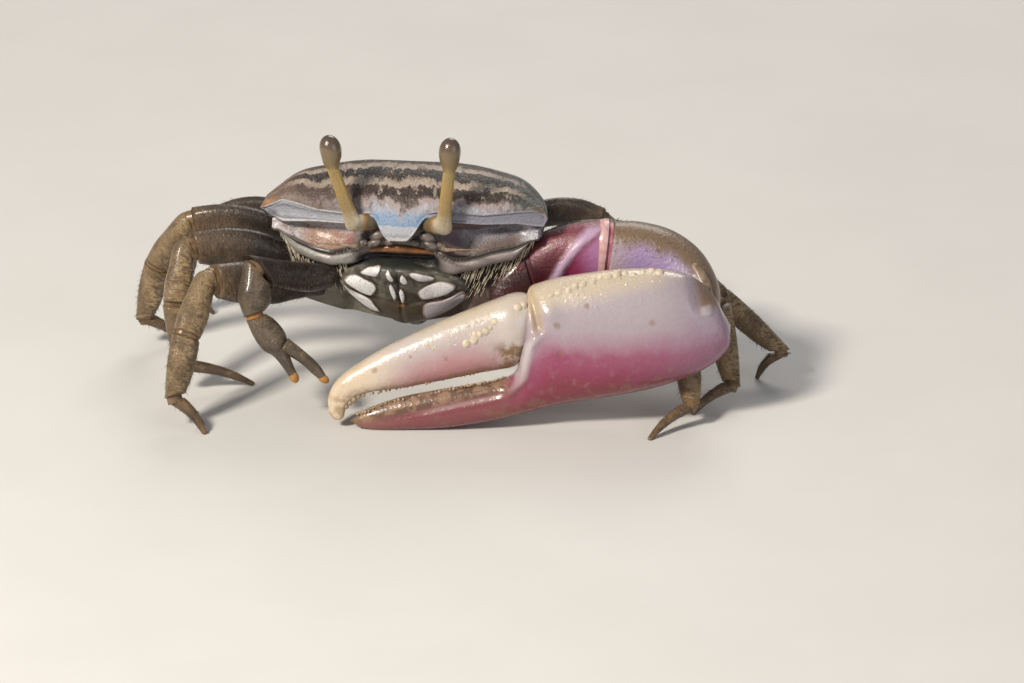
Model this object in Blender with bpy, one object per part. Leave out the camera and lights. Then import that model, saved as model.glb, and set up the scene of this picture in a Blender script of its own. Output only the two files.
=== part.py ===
"""A male fiddler crab as a still, life-size model, standing on its eight walking legs with the great claw
folded across its front and resting on the floor. The crab faces -Y, its left side with the great claw is
at +X, and the floor is z = 0. Sizes below are in millimetres, and MM turns them into metres."""

import math

import bmesh
import bpy
from mathutils import Matrix, Vector
from mathutils.bvhtree import BVHTree

MM = 0.001
GAP = 0.3  # clear space between one shell piece and the next
HALF_GAP = GAP / 2
SINK = 0.6  # how far a limb starts inside the body before it is cut back to the gap
SHARP_ANGLE = math.radians(40)  # edges bent more than this stay sharp
FLOOR = 0.0  # level of every small flat that touches the floor

# The bounding box of the whole crab is centred on x = y = 0, so the carapace stands a little off it.
ORIGIN_SHIFT = Vector((-4.39, 1.94, 0.0))

# Body, in its own frame: x to the crab's left, -y forward, z above the floor
BODY_YAW = -9.5  # degrees, the face turns towards the tip of the great claw
BODY_ROLL = -1.1  # degrees, the crab's right side a little lower
BODY_PIVOT = Vector((0.0, 0.0, 14.0))
BODY_AT = Vector((0.9, 0.0, 0.0))
HALF_WIDTH = 11.0  # middle of the carapace to its side, under the tip of each front corner
FRONT_Y = -6.9
REAR_Y = 7.0
CORNER_Y = -5.0
MARGIN_Z = 14.7  # upper edge of the eye sockets
MARGIN_LIFT = 0.65  # how far that edge arches up before the corner
REAR_Z = 12.4
CREST_RISE = 3.75  # dome of the back over the line from front edge to rear edge
SHELL = 0.7  # thickness of the carapace along its edges
CORNER_SHELL = 0.35  # what the front corners are thicker by
THORAX_HALF_WIDTH = 10.35
RIDGE_Z = 12.15  # lower edge of the eye sockets
BREAST_Z = 4.95  # lowest line of the body
SIDE_RISE = 2.4  # how far the underside rises towards the sides
CORNER_RISE = 6.0  # how far it rises further, to the front corners
MOUTH_RECESS = 0.75

LOBE_TOP_HALF = 2.5
LOBE_TIP_HALF = 1.25
LOBE_TOP_Z = 15.3
LOBE_TIP_Z = 13.25
LOBE_Y = -7.45
LOBE_THICK = 1.3

# Eyes, in the body frame for the right side; the left mirrors it with its own lean
STALK_ROOT = Vector((-2.5, -6.0, 13.55))
STALK_BASE = Vector((-3.35, -7.55, 14.3))
STALK_RADIUS = 0.52
STALK_NECK = 0.44
EYE_RADIUS = 0.77
EYE_LENGTH = 2.4
STALK_TOP = {"right": Vector((-4.75, -7.6, 19.3)), "left": Vector((3.95, -7.6, 19.3))}

# Great claw, which folds forward from the wrist and lies along a leaning plane
CLAW_AT = Vector((25.1, -10.55, 7.2))  # rear end of the palm
CLAW_DIP = 12.1  # degrees, fingers lower than the palm
CLAW_TOE = 3.6  # degrees, fingers further forward than the palm
CLAW_LEAN = 15.0  # degrees, upper edge leans back to the body
CLAW_SIDES = 14  # points in one ring of the claw
CLAW_SQUARENESS = 2.4  # 2 would make the claw's section an ellipse
PALM_BEAD = 0.34  # radius of the beads on the palm
FINGER_TOOTH = 0.33  # radius of the teeth of the movable finger

# Walking legs, front to rear on each side: the joints in the floor frame. The root is a point inside the
# body that the leg points at.
LEGS = {
    "right_1": dict(root=(-3.2, -1.4, 7.6), knee=(-14.5, -7.5, 10.1), wrist=(-16.5, -10.8, 6.9),
                    ankle=(-17.4, -12.6, 2.5), tip=(-15.1, -13.7), girth=1.22, arch=-0.2),
    "right_2": dict(root=(-3.3, -0.1, 8.2), knee=(-16.3, -2.6, 10.9), wrist=(-17.6, -4.5, 7.0),
                    ankle=(-16.9, -5.4, 2.3), tip=(-11.8, -3.9), girth=1.14, arch=1.1),
    "right_3": dict(root=(-3.3, 1.1, 8.6), knee=(-16.4, 2.3, 11.2), wrist=(-19.4, 3.4, 7.2),
                    ankle=(-20.5, 4.0, 2.5), tip=(-17.6, 5.0), girth=1.15, arch=1.6),
    "right_4": dict(root=(-3.2, 2.6, 10.0), knee=(-14.6, 7.1, 9.8), wrist=(-17.2, 9.2, 6.4),
                    ankle=(-18.0, 10.1, 2.4), tip=(-15.5, 11.0), girth=0.92, arch=2.2),
    "left_1": dict(root=(2.9, -1.6, 7.0), knee=(17.6, -3.9, 6.0), wrist=(21.8, -7.1, 4.1),
                   ankle=(22.0, -12.2, 1.75), tip=(18.8, -14.9), girth=1.05, arch=0.0),
    "left_2": dict(root=(3.2, 0.1, 8.2), knee=(18.4, -0.9, 8.3), wrist=(24.3, -3.7, 6.2),
                   ankle=(25.2, -8.2, 1.8), tip=(22.2, -9.9), girth=1.12, arch=0.5),
    "left_3": dict(root=(3.3, 1.1, 8.6), knee=(18.4, 1.7, 10.0), wrist=(24.5, -0.8, 6.1),
                   ankle=(29.2, -2.9, 2.4), tip=(27.4, -2.6), girth=1.02, arch=1.2),
    "left_4": dict(root=(3.2, 2.6, 10.0), knee=(15.2, 7.0, 9.6), wrist=(17.9, 8.9, 5.9),
                   ankle=(18.6, 9.9, 2.4), tip=(16.0, 10.7), girth=0.95, arch=2.2),
}

LEG_STAND_OFF = 1.3  # how far a leg runs straight out of the body before it turns
LEG_SINK = 1.2  # how far a leg starts inside the body before it is cut back to the gap
DACTYL_BOW = 0.28  # how far the last joint of a leg bows upwards
KNEE_REACH = 0.6  # the carpus holds the bend of the knee, this far past the end of the merus

# Outline of each leg joint: (place along it, half height, half thickness)
MERUS_FORM = [(0.0, 0.8, 0.6), (0.16, 0.9, 0.6), (0.32, 1.05, 0.65), (0.55, 1.36, 0.7),
              (0.8, 1.3, 0.7), (1.0, 1.05, 0.7)]
CARPUS_FORM = [(0.0, 0.76, 0.62), (0.25, 0.68, 0.66), (0.5, 0.86, 0.76), (0.75, 0.97, 0.76), (1.0, 0.88, 0.7)]
PROPODUS_FORM = [(0.0, 0.9, 0.68), (0.35, 0.92, 0.64), (0.7, 0.82, 0.56), (1.0, 0.6, 0.46)]
DACTYL_FORM = [(0.0, 0.44, 0.38), (0.35, 0.36, 0.32), (0.7, 0.28, 0.26), (1.0, 0.17, 0.17)]


def clear_scene():
    for old in list(bpy.data.objects):
        bpy.data.objects.remove(old)


def shell_material(name, colour, roughness):
    made = bpy.data.materials.new(name)
    made.use_nodes = True
    principled = made.node_tree.nodes["Principled BSDF"]
    principled.inputs["Base Color"].default_value = (*colour, 1.0)
    principled.inputs["Roughness"].default_value = roughness
    principled.inputs["Metallic"].default_value = 0.0
    return made


def smoothstep(low, high, value):
    t = min(1.0, max(0.0, (value - low) / (high - low)))
    return t * t * (3.0 - 2.0 * t)


def mix(a, b, t):
    return a + (b - a) * t


def read_form(form, place):
    """Half height and half thickness at a place along a joint, by straight steps between the form's rows."""
    for (p0, h0, t0), (p1, h1, t1) in zip(form, form[1:]):
        if place <= p1:
            share = (place - p0) / (p1 - p0)
            return mix(h0, h1, share), mix(t0, t1, share)
    return form[-1][1], form[-1][2]


def body_turn():
    return Matrix.Rotation(math.radians(BODY_YAW), 3, "Z") @ Matrix.Rotation(math.radians(BODY_ROLL), 3, "Y")


def body_to_floor(point):
    """A point of the body frame, in the floor frame."""
    return body_turn() @ (Vector(point) - BODY_PIVOT) + BODY_PIVOT + BODY_AT


def closed_mesh(name, points, faces, material):
    """One closed solid from points in millimetres of the floor frame."""
    mesh = bpy.data.meshes.new(name)
    mesh.from_pydata([(Vector(p) + ORIGIN_SHIFT) * MM for p in points], [], faces)
    work = bmesh.new()
    work.from_mesh(mesh)
    bmesh.ops.recalc_face_normals(work, faces=work.faces)
    bmesh.ops.triangulate(work, faces=work.faces)
    work.to_mesh(mesh)
    work.free()
    mesh.materials.append(material)
    made = bpy.data.objects.new(name, mesh)
    bpy.context.scene.collection.objects.link(made)
    mesh.shade_smooth()
    mesh.set_sharp_from_angle(angle=SHARP_ANGLE)
    return made


def loft(name, rings, material, start=None, end=None):
    """Joins rings of equal count with quads. Each end closes on its own middle, or on the point given."""
    points = [p for ring in rings for p in ring]
    count = len(rings[0])
    faces = []
    for row in range(len(rings) - 1):
        for i in range(count):
            j = (i + 1) % count
            faces.append((row * count + i, row * count + j, (row + 1) * count + j, (row + 1) * count + i))
    for row, apex in ((0, start), (len(rings) - 1, end)):
        middle = sum((Vector(p) for p in rings[row]), Vector()) / count
        points.append(apex if apex is not None else middle)
        for i in range(count):
            faces.append((row * count + i, row * count + (i + 1) % count, len(points) - 1))
    return closed_mesh(name, points, faces, material)


def oval_ring(centre, side, up, half_side, half_up, count, power=2.3):
    """A ring of points on a superellipse spanned by the side and up directions."""
    ring = []
    for i in range(count):
        angle = math.tau * i / count
        c, s = math.cos(angle), math.sin(angle)
        x = math.copysign(abs(c) ** (2.0 / power), c) * half_side
        y = math.copysign(abs(s) ** (2.0 / power), s) * half_up
        ring.append(centre + side * x + up * y)
    return ring


def bezier(p0, p1, p2, p3, t):
    s = 1.0 - t
    return p0 * s**3 + p1 * 3 * s * s * t + p2 * 3 * s * t * t + p3 * t**3


def front_y(u):
    return FRONT_Y + (CORNER_Y - FRONT_Y) * u**1.6


def rear_y(u):
    return CORNER_Y + (REAR_Y - CORNER_Y) * max(0.0, 1.0 - u**3.0) ** (1.0 / 1.6)


def margin_z(u):
    arch = math.exp(-(((u - 0.8) / 0.15) ** 2))
    return MARGIN_Z + MARGIN_LIFT * arch + 0.2 * smoothstep(0.9, 1.0, u)


def shell_depth(u):
    return SHELL + CORNER_SHELL * smoothstep(0.72, 0.95, u)


def rear_z(u):
    return REAR_Z + (MARGIN_Z - REAR_Z) * u**2.2


def dorsal_point(x, t):
    """The back of the carapace: t runs from the front edge at 0 to the rear edge at 1."""
    u = abs(x) / HALF_WIDTH
    rise = CREST_RISE * (1.0 - 0.88 * u**2.6)
    y = mix(front_y(u), rear_y(u), t)
    z = mix(margin_z(u), rear_z(u), t) + rise * math.sin(math.pi * t**0.72) ** 0.85
    return Vector((x, y, z))


def carapace_section(x, top_count=9, low_count=5):
    u = abs(x) / HALF_WIDTH
    top = [dorsal_point(x, i / (top_count - 1)) for i in range(top_count)]
    inset = min(0.45, (rear_y(u) - front_y(u)) * 0.15)
    front = Vector((x, front_y(u) + inset, margin_z(u) - shell_depth(u)))
    rear = Vector((x, rear_y(u) - inset, rear_z(u) - shell_depth(u)))
    low = [rear.lerp(front, i / (low_count - 1)) for i in range(low_count)]
    return [body_to_floor(p) for p in top + low]


def section_places(count=23):
    """Places along x of the cross sections of the body, closer together near both sides."""
    reach = 0.985  # the outermost sections stop a little short of both corners
    turns = [math.pi / 2 * reach * (2.0 * i / (count - 1) - 1.0) for i in range(count)]
    return [HALF_WIDTH * reach * math.sin(turn) for turn in turns]


def make_carapace(material):
    rings = [carapace_section(x) for x in section_places()]
    corners = [body_to_floor((side * (HALF_WIDTH + 0.2), CORNER_Y - 0.3, MARGIN_Z + 0.1)) for side in (-1, 1)]
    carapace = loft("carapace", rings, material, start=corners[0], end=corners[1])
    unite(carapace, [frontal_lobe(material)])
    return carapace


def frontal_lobe(material):
    """The tongue of shell between the eyestalks, turned down at the front."""
    rings = []
    for t, forward in ((0.0, 0.75), (0.35, 0.2), (0.75, 0.0), (1.0, 0.1)):
        half = mix(LOBE_TOP_HALF, LOBE_TIP_HALF, t**1.3)
        z = mix(LOBE_TOP_Z, LOBE_TIP_Z, t)
        thick = mix(LOBE_THICK + 0.6, 0.6, t)
        y = LOBE_Y + forward
        outline = [(-half, y + 0.25), (-half * 0.5, y), (half * 0.5, y), (half, y + 0.25),
                   (half, y + thick), (-half, y + thick)]
        rings.append([body_to_floor((px, py, z)) for px, py in outline])
    return loft("lobe", rings, material)


def ridge_z(u):
    return RIDGE_Z + 0.85 * smoothstep(0.55, 0.95, u)


def breast_z(u):
    return BREAST_Z + SIDE_RISE * u**1.1 + CORNER_RISE * smoothstep(0.78, 1.0, u)


def thorax_section(x):
    """Outline of the body under the carapace: eye socket, lower rim, face, underside and rear."""
    u = abs(x) / THORAX_HALF_WIDTH
    w = abs(x) / HALF_WIDTH
    width = rear_y(w) - front_y(w)
    scale = min(1.0, width / 6.0)
    fy, ry, mz = front_y(w), rear_y(w), margin_z(w)
    socket = smoothstep(2.0, 3.2, abs(x))
    recess = MOUTH_RECESS * (1.0 - smoothstep(4.2, 5.2, abs(x)))
    rz = min(ridge_z(u), mz - shell_depth(w) - GAP - 0.25 * u**4 - 0.9 * scale)
    low = min(breast_z(u), rz - 0.5)
    face_foot = mix(-4.4, fy + 1.6, u**1.5)
    rear_foot = mix(4.6, ry - 1.6 * scale, u**1.5)
    under = shell_depth(w) + GAP + 0.25 * u**4
    front_top = mz - under
    points = [
        (fy + 0.75 * scale, front_top),
        (fy + mix(0.9, 1.7, socket) * scale, mix(front_top, rz, 0.45)),
        (fy + mix(0.8, 0.75, socket) * scale, rz + 0.15),
        (fy + mix(0.75, 0.1, socket) * scale, rz - 0.1),
        (fy + (0.35 + recess) * scale, rz - 0.75 * scale),
        (mix(fy + 0.35, face_foot, 0.3) + recess, mix(rz - 0.7, low, 0.36)),
        (mix(fy + 0.35, face_foot, 0.62) + recess, mix(rz - 0.7, low, 0.7)),
        (face_foot + recess * 0.6, low + 0.35 * scale),
        (mix(face_foot, rear_foot, 0.22), low),
        (mix(face_foot, rear_foot, 0.5), low - 0.1 * scale),
        (mix(face_foot, rear_foot, 0.78), low + 0.15 * scale),
        (rear_foot, low + 0.9 * scale),
        (mix(rear_foot, ry, 0.75), mix(low, rear_z(w) - under, 0.6)),
        (ry - 0.35 * scale, rear_z(w) - under),
    ]
    return [body_to_floor((x, y, z)) for y, z in points]


def make_thorax(material):
    rings = [thorax_section(x) for x in section_places()[2:-2]]
    return loft("thorax", rings, material)


def evaluated_mesh(obj):
    """The mesh of an object with its modifiers applied, as a new mesh."""
    graph = bpy.context.evaluated_depsgraph_get()
    return bpy.data.meshes.new_from_object(obj.evaluated_get(graph))


def keep_largest_body(mesh):
    """Leaves only the largest closed surface of a mesh."""
    work = bmesh.new()
    work.from_mesh(mesh)
    bmesh.ops.triangulate(work, faces=work.faces)
    unseen = set(work.faces)
    bodies = []
    while unseen:
        stack = [unseen.pop()]
        body = set(stack)
        while stack:
            for edge in stack.pop().edges:
                for face in edge.link_faces:
                    if face in unseen:
                        unseen.remove(face)
                        body.add(face)
                        stack.append(face)
        bodies.append(body)
    largest = max(bodies, key=lambda body: sum(face.calc_area() for face in body))
    extra = [face for body in bodies if body is not largest for face in body]
    bmesh.ops.delete(work, geom=extra, context="FACES")
    work.to_mesh(mesh)
    work.free()


def apply_boolean(obj, others, operation):
    """Joins or cuts obj with a collection of closed objects, then removes them."""
    group = bpy.data.collections.new(obj.name + "_" + operation.lower())
    bpy.context.scene.collection.children.link(group)
    for other in others:
        for owner in list(other.users_collection):
            owner.objects.unlink(other)
        group.objects.link(other)
    change = obj.modifiers.new("change", "BOOLEAN")
    change.operation = operation
    change.solver = "EXACT"
    change.operand_type = "COLLECTION"
    change.collection = group
    bpy.context.view_layer.update()
    made = evaluated_mesh(obj)
    keep_largest_body(made)
    obj.modifiers.clear()
    old = obj.data
    obj.data = made
    bpy.data.meshes.remove(old)
    for other in others:
        bpy.data.objects.remove(other)
    bpy.data.collections.remove(group)
    obj.data.shade_smooth()
    obj.data.set_sharp_from_angle(angle=SHARP_ANGLE)


def unite(obj, others):
    apply_boolean(obj, others, "UNION")


SHARPEST_MOVE = 1.6  # vertices on sharp edges move at most this much further than the rest


def swollen_copy(obj, by):
    """A copy of obj with every vertex moved out by that many millimetres, to cut a clear gap with."""
    mesh = obj.data.copy()
    work = bmesh.new()
    work.from_mesh(mesh)
    work.normal_update()
    moves = [vertex.normal * min(vertex.calc_shell_factor(), SHARPEST_MOVE) for vertex in work.verts]
    for vertex, move in zip(work.verts, moves):
        vertex.co += move * by * MM
    work.to_mesh(mesh)
    work.free()
    made = bpy.data.objects.new(obj.name + "_gap", mesh)
    bpy.context.scene.collection.objects.link(made)
    return made


def clear_of(obj, *neighbours):
    """Cuts obj back so that it keeps the usual gap to what it grows from."""
    apply_boolean(obj, [swollen_copy(n, GAP) for n in neighbours], "DIFFERENCE")


def surface_tree(obj):
    graph = bpy.context.evaluated_depsgraph_get()
    return BVHTree.FromObject(obj, graph)


def cast(tree, start, direction):
    """First hit of a ray in millimetres of the floor frame, as (point, normal)."""
    at, normal, _, _ = tree.ray_cast((Vector(start) + ORIGIN_SHIFT) * MM, Vector(direction).normalized())
    return at / MM - ORIGIN_SHIFT, normal


def leg_frame(root, knee, foot):
    """The normal of the plane that a leg bends in, chosen to point forward."""
    normal = (knee - root).cross(foot - knee).normalized()
    return normal if normal.y < 0 else -normal


def limb_piece(name, path, form, girth, plane_normal, material, start_cut=None, end_cut=None, count=10):
    """A shell tube along a path. Its first and last rings lie on the cut planes given by their normals."""
    rings = []
    for index, centre in enumerate(path):
        place = index / (len(path) - 1)
        half_up, half_side = read_form(form, place)
        before, after = path[max(0, index - 1)], path[min(len(path) - 1, index + 1)]
        along = (after - before).normalized()
        side = (plane_normal - along * plane_normal.dot(along)).normalized()
        up = side.cross(along).normalized()
        ring = oval_ring(centre, side, up, half_side * girth, half_up * girth, count)
        cut = start_cut if index == 0 else end_cut if index == len(path) - 1 else None
        if cut is not None:
            ring = [p + along * ((centre - p).dot(cut) / along.dot(cut)) for p in ring]
        rings.append(ring)
    return loft(name, rings, material)


def straight_path(start, end, steps, bow=Vector()):
    """Points from start to end, bowed sideways at the middle."""
    path = []
    for i in range(steps):
        t = i / (steps - 1)
        path.append(start.lerp(end, t) + bow * math.sin(math.pi * t))
    return path


def mitre(before, joint, after):
    """Normal of the plane that halves the bend at a joint."""
    return ((joint - before).normalized() + (after - joint).normalized()).normalized()


def make_leg(side_name, facts, thorax_tree, materials):
    """One walking leg as four shell pieces: merus with its short root, carpus, propodus and dactyl."""
    name = "leg_" + side_name
    knee, wrist, ankle = (Vector(facts[k]) for k in ("knee", "wrist", "ankle"))
    hit, _ = cast(thorax_tree, knee, Vector(facts["root"]) - knee)
    root = hit + (knee - hit).normalized() * LEG_STAND_OFF
    tip = Vector((*facts["tip"], FLOOR))
    girth = facts["girth"]
    plane = leg_frame(root, knee, tip)
    elbow = root.lerp(knee, 0.3) + Vector((0, 0, facts["arch"]))

    wrist_cut, ankle_cut = mitre(knee, wrist, ankle), mitre(wrist, ankle, tip)
    knee_cut = ((knee - elbow).normalized() * 4.0 + (wrist - knee).normalized()).normalized()
    inside = hit - (knee - hit).normalized() * LEG_SINK
    out = (knee - elbow).normalized()
    merus_end = knee - out * HALF_GAP / knee_cut.dot(out)
    merus_path = [bezier(inside, root, elbow, merus_end, t) for t in (0.0, 0.2, 0.38, 0.55, 0.72, 0.87, 1.0)]
    limb_piece(name + "_merus", merus_path, MERUS_FORM, girth, plane, materials["leg"], end_cut=knee_cut)

    carpus_start = knee + out * HALF_GAP / knee_cut.dot(out)
    bend = knee + out * KNEE_REACH * girth
    carpus_end = wrist - (wrist - bend).normalized() * HALF_GAP / wrist_cut.dot((wrist - bend).normalized())
    carpus_path = [carpus_start, bend, bend.lerp(carpus_end, 0.38), bend.lerp(carpus_end, 0.7), carpus_end]
    limb_piece(name + "_carpus", carpus_path, CARPUS_FORM, girth, plane, materials["leg"],
               start_cut=knee_cut, end_cut=wrist_cut)

    along = (ankle - wrist).normalized()
    propodus_start = wrist + along * HALF_GAP / wrist_cut.dot(along)
    propodus_end = ankle - along * HALF_GAP / ankle_cut.dot(along)
    limb_piece(name + "_propodus", straight_path(propodus_start, propodus_end, 4), PROPODUS_FORM, girth, plane,
               materials["leg"], start_cut=wrist_cut, end_cut=ankle_cut)
    make_dactyl(name + "_dactyl", ankle, tip, ankle_cut, plane, girth, materials["leg_tip"])
    clear_of(bpy.data.objects[name + "_merus"], bpy.data.objects["thorax"])


def make_dactyl(name, ankle, tip, cut, plane, girth, material):
    """The pointed last joint of a leg, with a small flat where its tip meets the floor."""
    along = (tip - ankle).normalized()
    first = ankle + along * GAP / 2 / cut.dot(along)
    radius = DACTYL_FORM[-1][1] * girth
    last = tip + Vector((0, 0, radius * 0.6))
    bow = (plane.cross(along)).normalized() * DACTYL_BOW
    if bow.z < 0:
        bow = -bow
    made = limb_piece(name, straight_path(first, last, 5, bow), DACTYL_FORM, girth, plane, material,
                      start_cut=cut, count=8)
    level_feet(made)


def level_feet(obj):
    """Flattens whatever would reach below the floor."""
    floor = FLOOR * MM
    for vertex in obj.data.vertices:
        vertex.co.z = max(vertex.co.z, floor)


def claw_axes():
    dip, toe, lean = (math.radians(a) for a in (CLAW_DIP, CLAW_TOE, CLAW_LEAN))
    along = Vector((-math.cos(dip) * math.cos(toe), -math.cos(dip) * math.sin(toe), -math.sin(dip)))
    up = Vector((0.0, math.sin(lean), math.cos(lean)))
    up = (up - along * up.dot(along)).normalized()
    return along, up, up.cross(along).normalized()


def claw_point(a, h, n=0.0):
    """A point of the great claw: a along it from the rear of the palm, h up its face, n out of its face."""
    along, up, out = claw_axes()
    return CLAW_AT + along * a + up * h + out * n


def claw_ring(a_top, a_low, top, low, half):
    """A ring across the claw between its upper edge at a_top and its lower edge at a_low."""
    ring = []
    for i in range(CLAW_SIDES):
        angle = math.tau * i / CLAW_SIDES
        c, s = math.cos(angle), math.sin(angle)
        across = math.copysign(abs(c) ** (2.0 / CLAW_SQUARENESS), c) * half
        share = 0.5 + 0.5 * math.copysign(abs(s) ** (2.0 / CLAW_SQUARENESS), s)
        ring.append(claw_point(mix(a_low, a_top, share), mix(low, top, share), across))
    return ring


def make_palm(material):
    """Palm and fixed finger of the great claw, one shell: (a at top, a at foot, top, foot, half thickness)."""
    outline = [
        (0.3, 0.25, 1.4, -0.55, 1.0),
        (0.8, 0.6, 3.0, -1.2, 1.6),
        (2.0, 1.9, 4.7, -2.1, 2.15),
        (4.2, 4.2, 5.8, -2.7, 2.55),
        (7.3, 7.3, 6.5, -2.95, 2.75),
        (11.0, 11.0, 6.85, -2.8, 2.6),
        (13.4, 13.8, 6.85, -2.6, 2.3),
        (14.5, 15.0, 6.45, -2.6, 2.1),
        (15.2, 15.8, 4.3, -2.62, 1.9),
        (16.1, 16.6, 1.9, -2.65, 1.7),
        (17.0, 17.4, 0.45, -2.68, 1.5),
        (19.6, 19.6, 0.3, -2.72, 1.35),
        (22.7, 22.7, 0.5, -2.5, 1.2),
        (25.8, 25.6, 0.58, -2.0, 1.0),
        (28.2, 28.0, 0.3, -1.5, 0.75),
        (29.5, 29.3, -0.15, -1.0, 0.4),
    ]
    rings = [claw_ring(*row) for row in outline]
    palm = loft("major_palm", rings, material, end=claw_point(30.0, -0.3))
    teeth = [bump(claw_point(a, h, n), PALM_BEAD, material) for a, h, n in palm_tubercles()]
    unite(palm, teeth)
    level_feet(palm)
    return palm


def palm_tubercles():
    """Coarse beads along the upper edge of the palm, and teeth along the fixed finger."""
    beads = []
    for i in range(8):
        a = 4.8 + i * 1.25
        beads.append((a, 5.75 + 0.55 * math.sin(math.pi * i / 8), 1.45 - 0.04 * i))
    for i in range(6):
        a = 18.2 + i * 1.75
        beads.append((a, 0.5 + 0.03 * i, 0.25))
    return beads


def bump(centre, radius, material):
    work = bmesh.new()
    bmesh.ops.create_icosphere(work, subdivisions=1, radius=radius)
    points = [v.co + centre for v in work.verts]
    faces = [tuple(v.index for v in f.verts) for f in work.faces]
    work.free()
    return closed_mesh("bump", points, faces, material)


def make_major_dactyl(material):
    """The movable finger, from its hinge on the palm to the hooked tip."""
    outline = [
        (14.95, 16.75, 5.9, 1.25, 1.35),
        (15.4, 17.1, 6.5, 0.98, 1.65),
        (16.6, 17.9, 6.42, 1.02, 1.7),
        (19.2, 19.6, 6.02, 1.1, 1.7),
        (22.4, 22.2, 5.45, 1.15, 1.55),
        (25.6, 25.2, 4.7, 1.25, 1.35),
        (28.4, 27.6, 3.8, 1.45, 1.1),
        (30.2, 29.0, 2.95, 1.4, 0.9),
        (31.15, 29.9, 1.85, 0.9, 0.7),
        (31.4, 30.35, 0.8, 0.35, 0.45),
    ]
    rings = [claw_ring(*row) for row in outline]
    finger = loft("major_dactyl", rings, material, end=claw_point(30.95, -0.3))
    teeth = [bump(claw_point(a, h, 0.2), FINGER_TOOTH, material) for a, h in dactyl_teeth()]
    unite(finger, teeth)
    return finger


def dactyl_teeth():
    """Teeth under the movable finger, the last two larger and close to the hook."""
    return [(18.8 + i * 1.9, 1.22 + 0.035 * i) for i in range(5)] + [(28.6, 1.5), (29.55, 1.25)]


def make_major_arm(thorax_tree, materials):
    """Ischium, merus and carpus of the great claw, from the body out to the wrist."""
    hit, normal = cast(thorax_tree, (10.2, -9.5, 2.5), (-0.42, 0.6, 0.8))
    shoulder_in = hit - normal * 0.8
    shoulder = hit + normal * 0.9
    elbow = Vector((15.5, -4.75, 11.15))
    root_end = Vector((9.7, -5.1, 9.7))
    side = Vector((0.0, -1.0, 0.0))

    ischium_path = [bezier(shoulder_in, shoulder, root_end - Vector((1.2, 0, 0.4)), root_end, t)
                    for t in (0.0, 0.35, 0.7, 1.0)]
    ischium_form = [(0.0, 1.4, 1.2), (0.5, 1.7, 1.35), (1.0, 2.05, 1.45)]
    root_cut = (elbow - root_end).normalized()
    limb_piece("major_ischium", ischium_path, ischium_form, 1.0, side, materials["arm"],
               end_cut=root_cut, count=12)

    merus_start = root_end + root_cut * GAP
    merus_form = [(0.0, 2.1, 1.45), (0.3, 2.65, 1.7), (0.7, 2.85, 1.9), (1.0, 2.75, 1.95)]
    elbow_cut = Vector((1.0, 0.0, -0.12)).normalized()
    limb_piece("major_merus", straight_path(merus_start, elbow, 5, Vector((0, 0, 0.3))), merus_form, 1.0,
               side, materials["arm"], start_cut=root_cut, end_cut=elbow_cut, count=12)

    carpus_start = elbow + elbow_cut * GAP
    wrist_in = claw_point(2.3, 1.0, -1.4)
    carpus_path = [bezier(carpus_start, Vector((19.6, -4.6, 11.5)), Vector((22.4, -5.0, 10.2)), wrist_in, t)
                   for t in (0.0, 0.2, 0.4, 0.6, 0.8, 1.0)]
    carpus_form = [(0.0, 2.7, 1.9), (0.2, 2.6, 2.1), (0.5, 2.45, 2.2), (0.8, 2.1, 1.9), (1.0, 1.6, 1.5)]
    limb_piece("major_carpus", carpus_path, carpus_form, 1.0, side, materials["arm"],
               start_cut=elbow_cut, count=12)
    clear_of(bpy.data.objects["major_carpus"], bpy.data.objects["major_palm"])
    clear_of(bpy.data.objects["major_ischium"], bpy.data.objects["thorax"])
    clear_of(bpy.data.objects["major_merus"], bpy.data.objects["thorax"], bpy.data.objects["carapace"])


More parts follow.
